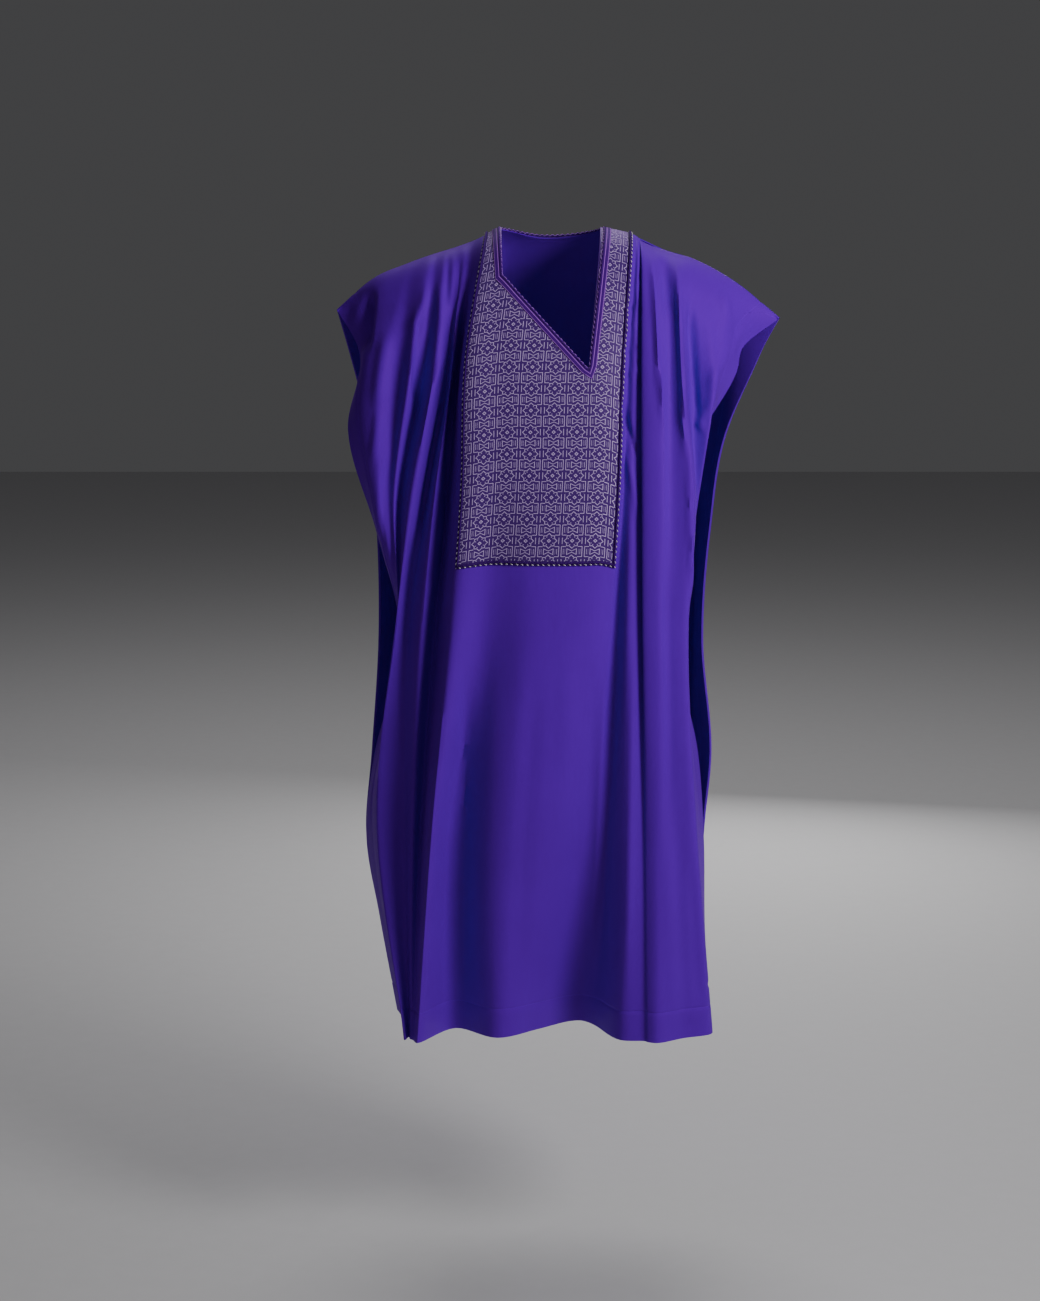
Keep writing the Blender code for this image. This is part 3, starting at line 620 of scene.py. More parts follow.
def finish_piece(name, mesh_data, materials, uv_names, replaced):
    """Turn the mesh into a piece that rides on the robe's body and stands for its solids."""
    for uv_name in uv_names:
        kept = mesh_data.verts.layers.float_vector[uv_name]
        laid = mesh_data.loops.layers.uv.new(uv_name)
        for face in mesh_data.faces:
            for loop in face.loops:
                loop[laid].uv = loop.vert[kept].xy
    mesh = bpy.data.meshes.new(name)
    for layer in list(mesh_data.verts.layers.float_vector.values()):
        mesh_data.verts.layers.float_vector.remove(layer)
    mesh_data.to_mesh(mesh)
    mesh_data.free()
    mesh.shade_smooth()
    mesh.set_sharp_from_angle(angle=SHARP_ANGLE)
    for material in materials:
        mesh.materials.append(material)
    piece = bpy.data.objects.new(name, mesh)
    bpy.context.scene.collection.objects.link(piece)
    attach(piece, "root")
    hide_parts(*replaced)
    return piece


def spread(first, second):
    """Two flat measures as the three numbers that a point's layer holds."""
    return np.stack((first, second, np.zeros_like(first)), axis=-1)


def robe_sheet(sheet, columns, drops, sizes, opening):
    """Mesh of one side of the robe, with its turned hem and sleeve edges."""
    points, facing = sheet.surface(columns[None, :], drops[:, None])
    across = lengths_along(points, 1)
    down = lengths_along(points, 0)
    from_side = np.minimum(across, across[:, -1:] - across)
    from_hem = down[-1:, :] - down
    open_edge = 1 - smooth_step(drops, SIDE_SEAM_START - SEAM_TAPER, SIDE_SEAM_START)[:, None]
    hem = 1 - smooth_step(
        from_hem, sizes.hem_turning - HEM_SOFT, sizes.hem_turning + HEM_SOFT)
    cuff = 1 - smooth_step(
        from_side, sizes.sleeve_turning - CUFF_SOFT, sizes.sleeve_turning + CUFF_SOFT)
    turned = np.maximum(hem, cuff * open_edge)
    hem_row = np.exp(-((from_hem - sizes.hem_turning) / HEM_DIMPLE) ** 2)
    cuff_row = np.exp(-((from_side - sizes.sleeve_turning) / CUFF_DIMPLE) ** 2) * open_edge
    sink = -STITCH_SINK * np.maximum(hem_row, cuff_row)
    raised = points + facing * (sink + TURNED_RISE * turned)[..., None]
    raised = sheet.on_own_side(raised)
    inward = -facing * (sizes.wall * (1 + TURNED_EXTRA * turned))[..., None]
    middle = across[:, [len(columns) // 2]]
    mesh_data = bmesh.new()
    add_grid(mesh_data, raised, layers=(
        ("inward", inward),
        ("cloth", spread(across - middle, down)),
        ("turnings", spread(from_side + (1 - open_edge), from_hem)),
    ))
    cut_opening(mesh_data, *opening)
    give_thickness(mesh_data)
    return mesh_data


def columns_of(sheet, first, final, steps, finer_edge=None):
    """Columns of a sheet's grid, with finer ones in the outermost spans where asked."""
    parts = []
    for span in range(first, final):
        at_edge = span < 2 or span >= sheet.last - 2
        count = finer_edge if finer_edge and at_edge else steps
        parts.append(np.linspace(span, span + 1, count, endpoint=False))
    return np.concatenate(parts + [np.array([float(final)])])


# rows close together across the line of stitches above the hem
FROM_STITCHES = np.array((-3, -1.6, -0.8, 0, 0.8, 1.6, 3)) * MM
FINER_HEM = 1 - HEM_TURNING / CLOTH_RUN + FROM_STITCHES / CLOTH_RUN


def build_side(side, sheet, steps, edge_steps, body_rows, opening, sizes, colours):
    """One side of the robe as a finished piece that stands for that side's solid."""
    columns = columns_of(sheet, 0, sheet.last, steps, finer_edge=edge_steps)
    drops = row_drops(round_rows=16, body_rows=body_rows, finer=FINER_HEM)
    mesh_data = robe_sheet(sheet, columns, drops, sizes, opening)
    return finish_piece(
        "robe_" + side, mesh_data, [robe_cloth(side + "_twill", sizes, colours)],
        ("cloth", "turnings"), [side])


def build_front(sizes, colours):
    piece = build_side(
        "front", FRONT, steps=7, edge_steps=12, body_rows=140, opening=front_neck_opening(),
        sizes=sizes, colours=colours)


def build_back(sizes, colours):
    piece = build_side(
        "back", BACK, steps=10, edge_steps=14, body_rows=130, opening=back_neck_opening(),
        sizes=sizes, colours=colours)


def panel_grid(lift):
    """Points and directions of the front under the chest panel."""
    first, final = FRONT.column("panel_left"), FRONT.column("panel_right")
    columns = columns_of(FRONT, first, final, steps=10)
    drops = row_drops(round_rows=14, body_rows=70, final=PANEL_DROP)
    points, facing = FRONT.surface(columns[None, :], drops[:, None])
    raised = points + facing * lift
    raised[..., 1] = np.minimum(raised[..., 1], -SEAM_GAP / 2)
    return raised, facing


def build_chest_panel(sizes, colours):
    """The brocade panel, a thin shell just off the front."""
    lift = SEAM_GAP + sizes.panel_wall
    points, facing = panel_grid(lift)
    across, down = lengths_along(points, 1), lengths_along(points, 0)
    share = across / across[:, -1:]
    mesh_data = bmesh.new()
    add_grid(mesh_data, points, layers=(
        ("inward", -facing * sizes.panel_wall),
        ("cloth", spread(share * sizes.panel_width, down)),
    ))
    cut_opening(mesh_data, *front_neck_opening())
    give_thickness(mesh_data)
    piece = finish_piece(
        "chest_panel_brocade", mesh_data, [brocade("panel_brocade", sizes, colours)],
        ("cloth",), ["chest_panel"])


# ---------------------------------------------------------------- braid and piping

def resample(path, facing, spacing):
    """The path and its directions at even distances."""
    run = lengths_along(path, 0)
    count = max(int(run[-1] / spacing), 8)
    wanted = np.linspace(0, run[-1], count + 1)
    even = np.stack([np.interp(wanted, run, path[:, axis]) for axis in range(3)], axis=-1)
    out = np.stack([np.interp(wanted, run, facing[:, axis]) for axis in range(3)], axis=-1)
    return even, unit_rows(out), wanted


def add_strand(mesh_data, centre, out, side, run, radius, material):
    """Round thread along a line, closed to a point at both ends."""
    reach = np.full(len(run), radius)
    reach[[0, -1]] = 0.0
    around = np.linspace(0, 2 * math.pi, THREAD_SIDES + 1)
    ring = (out[:, None, :] * np.cos(around)[None, :, None]
            + side[:, None, :] * np.sin(around)[None, :, None])
    points = centre[:, None, :] + ring * reach[:, None, None]
    before = len(mesh_data.faces)
    laid = np.broadcast_to(run[:, None], points.shape[:2])
    wound = np.broadcast_to(around[None, :] * radius, points.shape[:2])
    add_grid(mesh_data, points, closed=True, layers=(("thread", spread(laid, wound)),))
    mesh_data.faces.ensure_lookup_table()
    for face in mesh_data.faces[before:]:
        face.material_index = material


def add_rope(mesh_data, path, facing, diameter, pitch):
    """Purple strands twisted round a path."""
    path, facing, run = resample(path, facing, pitch / ROPE_STEPS)
    way = unit_rows(np.gradient(path, axis=0))
    out = unit_rows(facing - way * np.sum(facing * way, axis=-1, keepdims=True))
    side = np.cross(way, out)
    strand = diameter * STRAND_SHARE
    for index in range(ROPE_STRANDS):
        turn = run / pitch * 2 * math.pi + index * 2 * math.pi / ROPE_STRANDS
        aside = out * np.cos(turn)[:, None] + side * np.sin(turn)[:, None]
        add_strand(mesh_data, path + aside * (diameter / 2 - strand), out, side, run, strand, 1)


def add_flecks(mesh_data, path, facing, aside, pitch, radius):
    """Light thread that comes up for part of every turn and dips under for the rest."""
    aside = np.broadcast_to(aside, path.shape)
    joined = np.concatenate((path, facing, aside), axis=1)
    run = lengths_along(path, 0)
    even = np.linspace(0, run[-1], int(run[-1] / pitch) * FLECK_STEPS + 1)
    joined = np.stack([np.interp(even, run, column) for column in joined.T], axis=-1)
    path, facing, aside = joined[:, :3], unit_rows(joined[:, 3:6]), unit_rows(joined[:, 6:])
    turn = even / pitch * 2 * math.pi
    rise = np.sin(turn)
    centre = path + facing * ((rise * FLECK_RISE - FLECK_SINK) * radius)[:, None]
    centre = centre + aside * (np.cos(turn) * radius * FLECK_SWAY)[:, None]
    side = np.cross(unit_rows(np.gradient(path, axis=0)), facing)
    add_strand(mesh_data, centre, facing, side, even, radius, 2)


def add_tape(mesh_data, near, far, facing, thickness):
    """Flat crowned tape between two edge paths, with its foot on the cloth below it."""
    top = np.stack([near + (far - near) * share + facing * thickness * high
                    for share, high in TAPE_CROWN], axis=1)
    foot = np.stack([far + (near - far) * share for share in FOOT_SHARES], axis=1)
    points = np.concatenate((top, foot, top[:, :1]), axis=1)
    start, end = np.zeros_like(points[:1]), np.zeros_like(points[:1])
    start[:], end[:] = points[0].mean(axis=0), points[-1].mean(axis=0)
    points = np.concatenate((start, points, end), axis=0)
    width = np.linalg.norm(far - near, axis=-1).mean()
    add_band(mesh_data, points, TAPE_CROWN, width)


def add_band(mesh_data, points, crown, width):
    """Closed skin of a tape or binding, with its length and width kept for its finish."""
    run = lengths_along(points, 0)[:, :1] + np.zeros(points.shape[:2])
    shares = np.array([share for share, high in crown] + [0.9, 0.1, 0.0])
    add_grid(mesh_data, points, closed=True, layers=(
        ("thread", spread(run, np.broadcast_to(shares * width, points.shape[:2]))),))


def add_braid(mesh_data, edge, inner, facing, sizes):
    """Tape along an edge path, towards the inner path, with the rope and the light thread."""
    inside = unit_rows(inner - edge)
    add_tape(mesh_data, edge, edge + inside * sizes.braid_width, facing, BRAID_TAPE)
    rope = edge + inside * (BRAID_ROPE_AT * sizes.braid_width)
    rope = rope + facing * (BRAID_TAPE + BRAID_ROPE_LIFT * sizes.braid_rope)
    add_rope(mesh_data, rope, facing, sizes.braid_rope, sizes.braid_pitch)
    flecks = edge + inside * (BRAID_FLECK_AT * sizes.braid_width) + facing * BRAID_TAPE
    add_flecks(mesh_data, flecks, facing, inside, sizes.braid_pitch, sizes.fleck)


def build_braids(sizes, colours):
    """Rope braid down both side edges of the chest panel and along its lower edge."""
    points, facing = panel_grid(2 * SEAM_GAP + sizes.panel_wall)
    corner = sizes.braid_width * BRAID_CORNER
    sides = (
        ("braid_left", points[:, 0], points[:, 3], facing[:, 0]),
        ("braid_right", points[:, -1], points[:, -4], facing[:, -1]),
        ("braid_bottom", points[-1, :], points[-4, :], facing[-1, :]),
    )
    for name, edge, inner, out in sides:
        mesh_data = bmesh.new()
        if name == "braid_bottom":
            run = lengths_along(edge, 0)
            inside = (run > corner) & (run < run[-1] - corner)
            edge, inner, out = edge[inside], inner[inside], out[inside]
        add_braid(mesh_data, edge, inner, out, sizes)
        bmesh.ops.recalc_face_normals(mesh_data, faces=mesh_data.faces[:])
        finish_piece(
            name + "_rope", mesh_data, braid_materials(name, colours),
            ("thread",), [name])


def cloth_distance(drop):
    """Distance along the cloth from the shoulder seam to a part of the drop."""
    if drop < ROUND_OVER:
        return ROUND_RADIUS * math.acos(1 - drop / ROUND_OVER)
    return ROUND_RADIUS * math.pi / 2 - (drop - ROUND_OVER) * HEM_HEIGHT


def drop_at(distances):
    """Parts of the drop that lie at distances along the cloth from the shoulder seam."""
    turn = distances / ROUND_RADIUS
    below = ROUND_OVER - (distances - ROUND_RADIUS * math.pi / 2) / HEM_HEIGHT
    in_round = ROUND_OVER * (1 - np.cos(np.minimum(turn, math.pi / 2)))
    return np.where(turn < math.pi / 2, in_round, below)


def back_scoop(share):
    """Drop of the neck scoop in the back at a share of the neck's half width."""
    reach = BACK_NECK_REACH * math.sqrt(max(0.0, 1 - share * share))
    return ROUND_OVER * (1 - math.sqrt(1 - reach * reach))


def neck_path():
    """The neck edge laid flat: across, and distance from the seam, positive in the front."""
    left, corner, vee, right = [(p.across * MM, p.height * MM / HEM_HEIGHT) for p in FRONT_NECK]
    path = []
    for drop in np.linspace(0, 1, NECK_RIGHT_STEPS, endpoint=False) ** NECK_EASE * vee[1]:
        path.append((right[0] + (vee[0] - right[0]) * drop / vee[1], cloth_distance(drop)))
    for part in np.linspace(0, 1, NECK_SLANT_STEPS, endpoint=False):
        drop = vee[1] + (corner[1] - vee[1]) * part
        path.append((vee[0] + (corner[0] - vee[0]) * part, cloth_distance(drop)))
    for part in (1 - np.linspace(0, 1, NECK_LEFT_STEPS)) ** NECK_EASE:
        drop = corner[1] * part
        path.append((left[0] + (corner[0] - left[0]) * part, cloth_distance(drop)))
    half, middle = (right[0] - left[0]) / 2, (right[0] + left[0]) / 2
    for index in range(1, NECK_SCOOP_STEPS):
        share = math.cos(math.pi * index / NECK_SCOOP_STEPS)
        path.append((middle - half * share, -cloth_distance(back_scoop(share))))
    return np.array(path)


def on_neck_cloth(flat, sizes):
    """Points and directions of the cloth, or of the panel over it, at flat neck places."""
    points, facing = np.zeros((len(flat), 3)), np.zeros((len(flat), 3))
    in_front = flat[:, 1] >= 0
    on_panel = 2 * SEAM_GAP + sizes.panel_wall
    spans = (
        (FRONT, in_front, "panel_left", "panel_right"),
        (BACK, ~in_front, "ridge_2", "ridge_5"),
    )
    for sheet, chosen, first, final in spans:
        drops = drop_at(np.abs(flat[chosen, 1]))
        tried = np.linspace(sheet.column(first), sheet.column(final), NECK_SEARCH_COLUMNS)
        reached = sheet.form(tried[None, :], drops[:, None])[..., 0]
        columns = np.array([
            np.interp(across, row, tried) for across, row in zip(flat[chosen, 0], reached)])
        points[chosen], facing[chosen] = sheet.surface(columns, drops)
    at_seam = np.abs(flat[:, 1]) < NECK_AT_SEAM
    facing[:, 1] = np.where(at_seam, facing[:, 1] * 0.3, facing[:, 1])
    facing = unit_rows(facing)
    behind = smooth_step(-flat[:, 1], 0.0, NECK_BEHIND)
    lift = on_panel + (SEAM_GAP - on_panel) * behind
    return points + facing * lift[:, None], facing


def piping_line(path, away, place, sizes):
    """Closed line round the neck at a distance in from its edge, and a height."""
    inward, height = place
    line, out = on_neck_cloth(path + away * inward, sizes)
    line, out = np.concatenate((line, line[:1])), np.concatenate((out, out[:1]))
    return line + out * height, out


def build_neck_binding(sizes, colours):
    """Binding round the whole neck edge, with rope piping on its inner side."""
    path = neck_path()
    before, after = np.roll(path, 1, axis=0), np.roll(path, -1, axis=0)
    run_in, run_out = unit_rows(path - before), unit_rows(after - path)
    run = unit_rows(run_in + run_out)
    away = np.stack((run[:, 1], -run[:, 0]), axis=-1)
    mitre = np.minimum(MITRE_LIMIT, 1 / np.maximum(0.1, np.sum(run_in * run, axis=-1)))
    rows = []
    for share, high in BINDING_CROWN:
        flat = path + away * (sizes.binding_width * share * mitre)[:, None]
        points, facing = on_neck_cloth(flat, sizes)
        rows.append(points + facing * (high * BINDING_RISE))
    foot = [rows[-1] - (rows[-1] - rows[0]) * share for share in FOOT_SHARES]
    points = np.stack(rows + foot + rows[:1], axis=1)
    points = np.concatenate((points, points[:1]), axis=0)
    mesh_data = bmesh.new()
    add_band(mesh_data, points, BINDING_CROWN, sizes.binding_width)
    line, out = piping_line(path, away, PIPING_THREAD_LINE, sizes)
    aside = np.cross(unit_rows(np.gradient(line, axis=0)), out)
    add_flecks(mesh_data, line, out, aside, sizes.piping_pitch, sizes.fleck * PIPING_THREAD)
    line, out = piping_line(path, away, PIPING_ROPE_LINE, sizes)
    add_rope(mesh_data, line, out, sizes.piping, sizes.piping_pitch)
    bmesh.ops.recalc_face_normals(mesh_data, faces=mesh_data.faces[:])
    finish_piece(
        "neck_binding_piped", mesh_data,
        [binding_cloth("binding_cloth", sizes, colours),
         yarn("piping_purple", colours.braid, 1.6), yarn("piping_fleck", colours.piping, 1.2)],
        ("thread",), ["neck_binding"])


# ---------------------------------------------------------------- materials

class Finish:
    """One material's node tree, and the one method that adds nodes to it."""

    def __init__(self, name):
        self.material = bpy.data.materials.new(name)
        self.material.use_nodes = True
        self.tree = self.material.node_tree
        self.shader = self.tree.nodes["Principled BSDF"]

    def add(self, kind, settings=None, **sockets):
        """Add a node, set its settings first, then its sockets' values or links."""
        node = self.tree.nodes.new(kind)
        for setting, value in (settings or {}).items():
            if setting == "stops":
                self.set_stops(node, value)
            else:
                setattr(node, setting, value)
        for place, value in sockets.items():
            target = node.inputs[int(place[1:])] if place[1:].isdigit() else node.inputs[place]
            self.feed(target, value)
        return node

    @staticmethod
    def set_stops(node, stops):
        ramp = node.color_ramp.elements
        while len(ramp) < len(stops):
            ramp.new(0.5)
        for element, (position, colour) in zip(ramp, stops):
            element.position, element.color = position, (*colour, 1.0)

    def feed(self, target, value):
        if isinstance(value, Measure):
            value = value.socket
        if isinstance(value, bpy.types.NodeSocket):
            self.tree.links.new(value, target)
        elif hasattr(value, "__len__") and len(value) == 3 and target.type == "RGBA":
            target.default_value = (*value, 1.0)
        else:
            target.default_value = value

    def measure(self, socket):
        return Measure(self, socket)

    def flat_place(self, uv_name):
        """The two flat measures that a UV map holds, as numbers."""
        laid = self.add("ShaderNodeUVMap", {"uv_map": uv_name})
        split = self.add("ShaderNodeSeparateXYZ", _0=laid.outputs[0])
        return laid.outputs[0], self.measure(split.outputs[0]), self.measure(split.outputs[1])

    def blend(self, factor, first, second):
        """Mix of two colours."""
        node = self.add("ShaderNodeMix", {"data_type": "RGBA"}, _0=factor, _6=first, _7=second)
        return node.outputs[2]

    def noise(self, vector, scale, detail=2.0, stretch=None):
        """Soft noise from zero to one."""
        if stretch:
            vector = self.add(
                "ShaderNodeVectorMath", {"operation": "MULTIPLY"}, _0=vector, _1=stretch).outputs[0]
        node = self.add(
            "ShaderNodeTexNoise", Vector=vector, Scale=scale, Detail=detail, Roughness=0.5)
        return self.measure(node.outputs[0])

    def raise_surface(self, height, distance, strength):
        """Let a height in the range of one stand out by a distance."""
        bump = self.add("ShaderNodeBump", Height=height, Distance=distance, Strength=strength)
        self.shade(Normal=bump.outputs[0])

    def shade(self, **values):
        """Set or feed the shader's own sockets, named with low lines for spaces."""
        for name, value in values.items():
            self.feed(self.shader.inputs[name.replace("_", " ")], value)


class Measure:
    """A socket that carries a number; expressions on it add Math nodes."""

    def __init__(self, finish, socket):
        self.finish, self.socket = finish, socket

    def maths(self, operation, *values):
        sockets = {f"_{index}": value for index, value in enumerate(values)}
        node = self.finish.add("ShaderNodeMath", {"operation": operation}, **sockets)
        return Measure(self.finish, node.outputs[0])

    def __add__(self, other):
        return self.maths("ADD", self, other)

    def __radd__(self, other):
        return self.maths("ADD", other, self)

    def __sub__(self, other):
        return self.maths("SUBTRACT", self, other)

    def __rsub__(self, other):
        return self.maths("SUBTRACT", other, self)

    def __mul__(self, other):
        return self.maths("MULTIPLY", self, other)

    def __rmul__(self, other):
        return self.maths("MULTIPLY", other, self)

    def __truediv__(self, other):
        return self.maths("DIVIDE", self, other)

    def __abs__(self):
        return self.maths("ABSOLUTE", self)

    def fraction(self):
        return self.maths("FRACT", self)

    def sine(self):
        return self.maths("SINE", self)

    def least(self, other):
        return self.maths("MINIMUM", self, other)

    def most(self, other):
        return self.maths("MAXIMUM", self, other)

    def below(self, edge, soft):
        """One where the number is under the edge, zero over it, with a soft change."""
        node = self.finish.add(
            "ShaderNodeMapRange", {"interpolation_type": "SMOOTHSTEP"},
            _0=self, _1=edge - soft, _2=edge + soft, _3=1.0, _4=0.0)
        return Measure(self.finish, node.outputs[0])

    def line(self, place, half, soft):
        """One on a line of the given half width round a place."""
        return abs(self - place).below(half, soft)

    def wave(self, pitch):
        """Smooth wave from zero to one along the number."""
        return (self * (2 * math.pi / pitch)).sine() * 0.5 + 0.5

    def dashes(self, pitch, half, soft):
        """One along every dash of a dashed line."""
        return (self * (1 / pitch)).fraction().line(0.5, half, soft)


def tint(colour, part):
    """The colour made darker or lighter."""
    return tuple(min(1.0, channel * part) for channel in colour)


def twill(across, down, pitch):
    """Fine diagonal weave from zero to one."""
    turn = 2 * math.pi / pitch
    ridges = ((across + down) * turn).sine() * 0.35
    return ridges + ((across - down * 0.4) * (turn * 1.9)).sine() * 0.15 + 0.5


def robe_cloth(name, sizes, colours):
    """Smooth twill with a soft sheen, stitched along its turned hem and sleeve edges."""
    finish = Finish(name)
    vector, across, down = finish.flat_place("cloth")
    _, from_side, from_hem = finish.flat_place("turnings")
    weave = twill(across, down, WEAVE_PITCH)
    cloudy = finish.noise(vector, 9.0, 3.0)
    slub = finish.noise(vector, 260.0, 2.0, stretch=(1.0, 0.12, 1.0))
    ripple = finish.noise(vector, 16.0, 2.0, stretch=(1.0, 0.45, 1.0))
    hem_thread = from_hem.line(sizes.hem_turning, STITCH_HALF, STITCH_SOFT)
    cuff_thread = from_side.line(sizes.sleeve_turning, STITCH_HALF, STITCH_SOFT)
    thread = (hem_thread * across.dashes(STITCH_PITCH, 0.32, 0.06)).most(
        cuff_thread * down.dashes(STITCH_PITCH, 0.32, 0.06))
    shade = cloudy * 0.5 + slub * 0.3 + weave * 0.2
    base = finish.blend(shade, colours.cloth_deep, colours.cloth)
    finish.raise_surface(ripple + slub * 0.05 + weave * 0.05 + thread * 0.18, 1.6 * MM, 0.6)
    finish.shade(
        Base_Color=finish.blend(thread * 0.7, base, tint(colours.cloth, 1.25)),
        Roughness=0.50 + slub * 0.10 - thread * 0.1,
        Sheen_Weight=0.20, Sheen_Roughness=0.35, Sheen_Tint=(0.45, 0.05, 1.0),
        Specular_IOR_Level=0.30, Specular_Tint=(0.50, 0.10, 1.0))
    return finish.material


def brocade_figure(across, down, sizes):
    """Raised thread of the brocade: eight-pointed rosettes, bow ties and brackets.

    side and level are a place's distances from the middle of the nearest rosette, and
    from_bow is its height from the nearest bow tie, all as parts of one repeat.
    """
    wide = sizes.panel_width / sizes.motif_columns
    side = 0.5 - abs((across / wide).fraction() - 0.5)
    from_bow = abs(((down - MOTIF_START) / sizes.motif_height).fraction() - 0.5)
    level = 0.5 - from_bow
    thread, soft = 0.0150, 0.006
    diagonal = side + level
    heart = diagonal.line(0.066, 0.026, soft)
    dots = (abs(side - 0.100) + abs(level - 0.175)).below(0.026, soft)
    dots = dots.most((abs(side - 0.175) + abs(level - 0.100)).below(0.026, soft))
    square = side.most(level) - 0.232
    diamond = (diagonal - 0.345) * 0.7071
    star = square.least(diamond)
    outline = star.line(0.0, thread, soft)
    bow_end = side.line(0.205, thread, soft) * from_bow.below(0.135, soft)
    bow_slant = (from_bow - side * 0.5).line(0.03, thread, soft) * side.below(0.215, soft)
    inner_bar = side.line(0.290, 0.005, soft).most(side.line(0.360, 0.010, soft))
    inner_bar = inner_bar * from_bow.below(0.125, soft)
    bracket = side.line(0.445, thread, soft) * from_bow.below(0.235, soft)
    bracket_foot = from_bow.line(0.235, thread, soft) * side.line(0.355, 0.095, soft)
    link = side.line(0.425, thread, soft) * level.below(0.15, soft)
    figure = heart.most(dots).most(outline).most(bow_end).most(bow_slant)
    return figure.most(inner_bar).most(bracket).most(bracket_foot).most(link)


def brocade(name, sizes, colours):
    """Lilac figured brocade on a purple ground."""
    finish = Finish(name)
    vector, across, down = finish.flat_place("cloth")
    figure = brocade_figure(across, down, sizes)
    rib, warp = down.wave(0.8 * MM), across.wave(0.7 * MM)
    cloudy = finish.noise(vector, 14.0, 3.0)
    worn = finish.noise(vector, 420.0, 2.0)
    lit = figure * (0.92 + worn * 0.12)
    thread = finish.blend(cloudy, tint(colours.brocade_light, 0.86), colours.brocade_light)
    ground = finish.blend(
        warp * 0.4 + worn * 0.6, colours.brocade_ground, tint(colours.brocade_ground, 1.5))
    height = figure * 0.6 + rib * figure * 0.25 + warp * 0.10 + worn * 0.15
    finish.raise_surface(height, 0.45 * MM, 0.8)
    finish.shade(
        Base_Color=finish.blend(lit, ground, thread),
        Roughness=0.52 - figure * 0.14, Metallic=figure * 0.15,
        Sheen_Weight=0.6, Sheen_Roughness=0.6, Sheen_Tint=(0.6, 0.35, 1.0),
        Specular_IOR_Level=0.55, Specular_Tint=(0.75, 0.50, 1.0))
    return finish.material


def yarn(name, colour, bright):
    """Twisted yarn: fine turns along a thread."""
    finish = Finish(name)
    vector, along, around = finish.flat_place("thread")
    turns = (along + around * 0.8).wave(0.55 * MM)
    fuzz = finish.noise(vector, 900.0, 2.0)
    finish.raise_surface(turns * 0.7 + fuzz * 0.3, 0.25 * MM, 0.7)
    finish.shade(
        Base_Color=finish.blend(turns * 0.6 + fuzz * 0.4, tint(colour, 0.62), tint(colour, bright)),
        Roughness=0.42 + fuzz * 0.2,
        Specular_IOR_Level=0.30, Specular_Tint=(0.6, 0.3, 1.0))
    return finish.material


def braid_materials(name, colours):
    return [
        yarn(name + "_tape", colours.braid, 1.25),
        yarn(name + "_purple", colours.braid, 1.6),
        yarn(name + "_fleck", colours.fleck, 1.2),
    ]


def binding_cloth(name, sizes, colours):
    """Dark ribbed ribbon with two brighter lines sewn along it."""
    finish = Finish(name)
    vector, along, aside = finish.flat_place("thread")
    rib = along.wave(0.8 * MM)
    share = aside / sizes.binding_width
    dash = along.dashes(2.6 * MM, 0.36, 0.08)
    sewn = share.line(0.46, 0.045, 0.02).most(share.line(0.92, 0.045, 0.02) * (0.5 + dash * 0.5))
    fuzz = finish.noise(vector, 700.0, 2.0)
    ground = finish.blend(
        rib * 0.5 + fuzz * 0.5, tint(colours.binding, 0.7), tint(colours.binding, 1.2))
    finish.raise_surface(rib * 0.3 + sewn * 0.5 + fuzz * 0.2, 0.35 * MM, 0.8)
    finish.shade(
        Base_Color=finish.blend(sewn * 0.85, ground, colours.stitching),
        Roughness=0.45 + fuzz * 0.15,
        Specular_IOR_Level=0.30, Specular_Tint=(0.6, 0.2, 1.0))
    return finish.material


# ---------------------------------------------------------------- stage

FLOOR_HEIGHT = -1.57
FLOOR_REACH = 14.0
FLOOR_GREYS = ((0.62, 0.61, 0.62), (0.66, 0.65, 0.66))
AIR_COLOUR = (0.80, 0.80, 0.83, 1.0)
AIR_STRENGTH = 0.075
CAMERA_PLACE = (-0.046, -3.5, -0.054)
CAMERA_PITCH = math.radians(80.7)
CAMERA_LENS = 81.35

Lamp = namedtuple("Lamp", "name place aim size watts")
LAMPS = (
    Lamp("key", (1.50, -1.42, 0.46), (0.0, -0.1, -0.30), 0.9, 34.0),
    Lamp("fill", (-1.6, -3.4, 0.3), (0.0, 0.0, -0.6), 2.2, 1.4),
    Lamp("rear", (0.7, 3.0, -0.25), (0.0, 0.0, -0.6), 1.6, 26.0),
    Lamp("floor", (0.0, 2.4, 3.0), (0.0, 2.8, -1.5), 3.0, 70.0),
)


def build_floor():
    mesh_data = bmesh.new()
    bmesh.ops.create_grid(mesh_data, x_segments=8, y_segments=8, size=FLOOR_REACH)
    bmesh.ops.translate(mesh_data, verts=mesh_data.verts, vec=(0.0, 0.0, FLOOR_HEIGHT))
    mesh = bpy.data.meshes.new("floor")
    mesh_data.to_mesh(mesh)
    mesh_data.free()
    finish = Finish("pale_floor")
    place = finish.add("ShaderNodeTexCoord").outputs["Object"]
    grain = finish.noise(place, 30.0, 3.0)
    finish.shade(Base_Color=finish.blend(grain, *FLOOR_GREYS), Roughness=0.75 + grain * 0.1)
    mesh.materials.append(finish.material)
    floor = bpy.data.objects.new("floor", mesh)
    bpy.context.scene.collection.objects.link(floor)


def hang_lamp(lamp):
    disc = bpy.data.lights.new(lamp.name, "AREA")
    disc.shape, disc.size, disc.energy = "DISK", lamp.size, lamp.watts
    light = bpy.data.objects.new(lamp.name, disc)
    light.location = lamp.place
    towards = Vector(lamp.aim) - Vector(lamp.place)
    light.rotation_euler = towards.to_track_quat("-Z", "Y").to_euler()
    light.visible_camera = False
    bpy.context.scene.collection.objects.link(light)


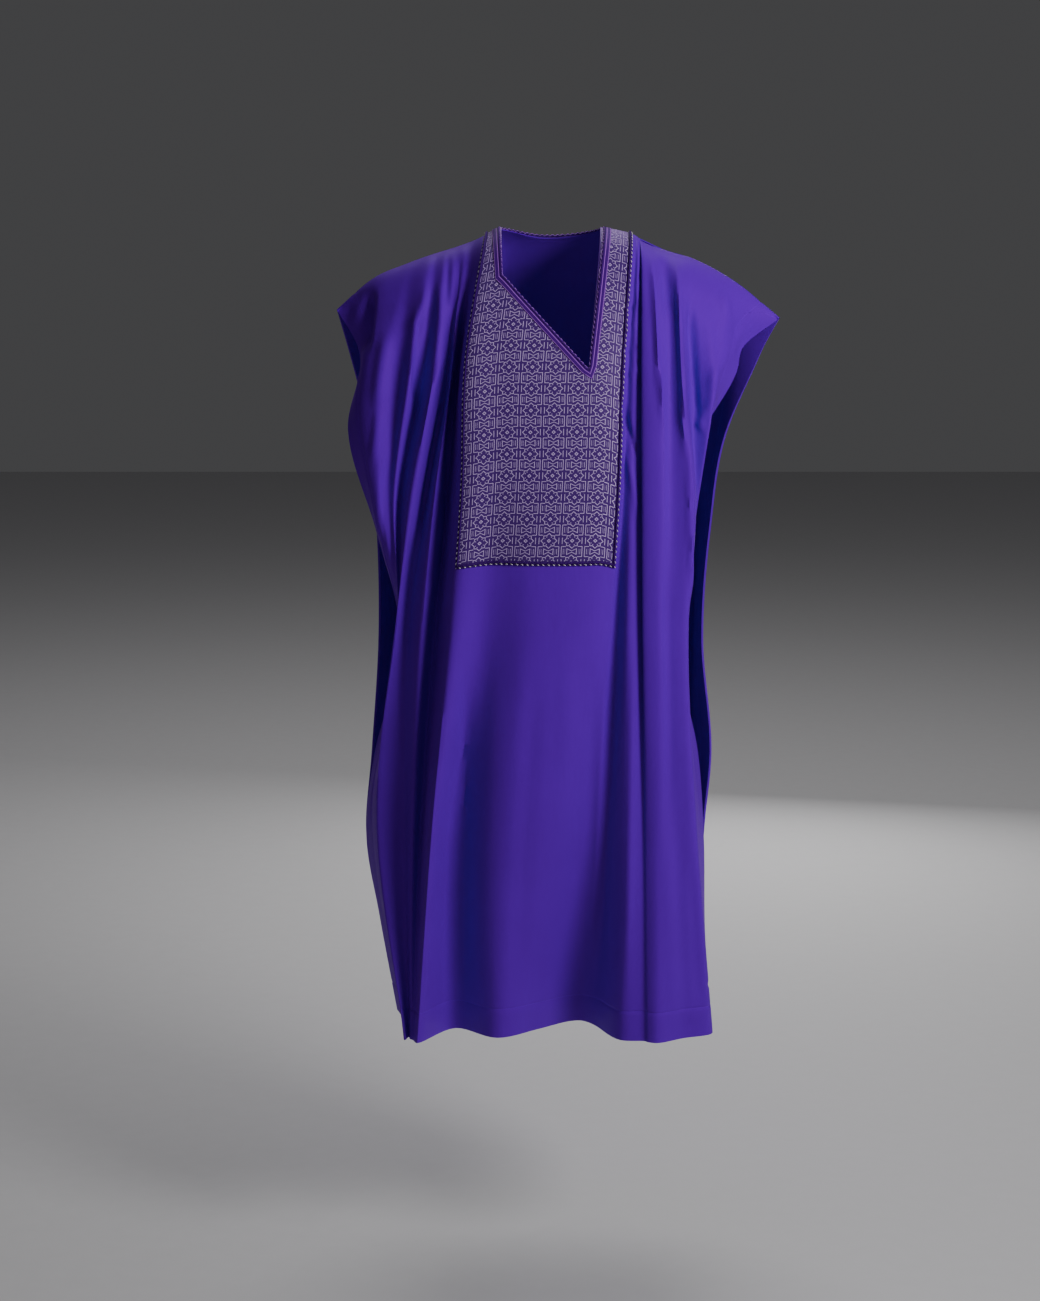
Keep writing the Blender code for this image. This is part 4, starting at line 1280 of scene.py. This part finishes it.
def build_stage():
    """Pale floor, soft lights and the camera."""
    build_floor()
    for lamp in LAMPS:
        hang_lamp(lamp)
    world = bpy.data.worlds.new("studio")
    world.use_nodes = True
    background = world.node_tree.nodes["Background"]
    background.inputs[0].default_value = AIR_COLOUR
    background.inputs[1].default_value = AIR_STRENGTH
    bpy.context.scene.world = world
    camera = bpy.data.cameras.new("camera")
    camera.sensor_fit, camera.sensor_width, camera.lens = "HORIZONTAL", 36.0, CAMERA_LENS
    camera.dof.use_dof = False
    stand = bpy.data.objects.new("camera", camera)
    stand.location = CAMERA_PLACE
    stand.rotation_euler = (CAMERA_PITCH, 0.0, 0.0)
    bpy.context.scene.collection.objects.link(stand)
    bpy.context.scene.camera = stand


# ---------------------------------------------------------------- operators and panel

class BOUBOU_OT_stage(bpy.types.Operator):
    """Lay the floor and set the lights and the camera"""

    bl_idname = "boubou.stage"
    bl_label = "Stage"

    def execute(self, context):
        build_stage()
        return {"FINISHED"}


class BOUBOU_OT_front(bpy.types.Operator):
    """Hang the robe's front"""

    bl_idname = "boubou.front"
    bl_label = "Robe front"

    def execute(self, context):
        build_front(context.scene.robe_sizes, context.scene.robe_colours)
        return {"FINISHED"}


class BOUBOU_OT_back(bpy.types.Operator):
    """Hang the robe's back"""

    bl_idname = "boubou.back"
    bl_label = "Robe back"

    def execute(self, context):
        build_back(context.scene.robe_sizes, context.scene.robe_colours)
        return {"FINISHED"}


class BOUBOU_OT_chest_panel(bpy.types.Operator):
    """Sew the brocade panel to the front"""

    bl_idname = "boubou.chest_panel"
    bl_label = "Chest panel"

    def execute(self, context):
        build_chest_panel(context.scene.robe_sizes, context.scene.robe_colours)
        return {"FINISHED"}


class BOUBOU_OT_braids(bpy.types.Operator):
    """Lay the rope braid round the chest panel"""

    bl_idname = "boubou.braids"
    bl_label = "Rope braids"

    def execute(self, context):
        build_braids(context.scene.robe_sizes, context.scene.robe_colours)
        return {"FINISHED"}


class BOUBOU_OT_neck_binding(bpy.types.Operator):
    """Bind the neck edge and pipe it with rope"""

    bl_idname = "boubou.neck_binding"
    bl_label = "Neck binding"

    def execute(self, context):
        build_neck_binding(context.scene.robe_sizes, context.scene.robe_colours)
        return {"FINISHED"}


OPERATORS = (
    BOUBOU_OT_stage, BOUBOU_OT_front, BOUBOU_OT_back, BOUBOU_OT_chest_panel,
    BOUBOU_OT_braids, BOUBOU_OT_neck_binding,
)


class BOUBOU_PT_robe(bpy.types.Panel):
    """Pieces of the robe, with their sizes and colours"""

    bl_label = "Grand boubou"
    bl_space_type = "VIEW_3D"
    bl_region_type = "UI"
    bl_category = "Boubou"

    def draw(self, context):
        layout = self.layout
        for operator in OPERATORS:
            layout.operator(operator.bl_idname)
        for group in (context.scene.robe_sizes, context.scene.robe_colours):
            for name in group.bl_rna.properties.keys():
                if name not in {"rna_type", "name"}:
                    layout.prop(group, name)


CLASSES = (RobeSizes, RobeColours) + OPERATORS + (BOUBOU_PT_robe,)


def register():
    for kind in CLASSES:
        bpy.utils.register_class(kind)
    bpy.types.Scene.robe_sizes = PointerProperty(type=RobeSizes)
    bpy.types.Scene.robe_colours = PointerProperty(type=RobeColours)


def unregister():
    del bpy.types.Scene.robe_colours
    del bpy.types.Scene.robe_sizes
    for kind in reversed(CLASSES):
        bpy.utils.unregister_class(kind)


def main():
    register()
    bpy.ops.boubou.stage()
    bpy.ops.boubou.front()
    bpy.ops.boubou.back()
    bpy.ops.boubou.chest_panel()
    bpy.ops.boubou.braids()
    bpy.ops.boubou.neck_binding()
    bpy.context.view_layer.update()


if __name__ == "__main__":
    main()
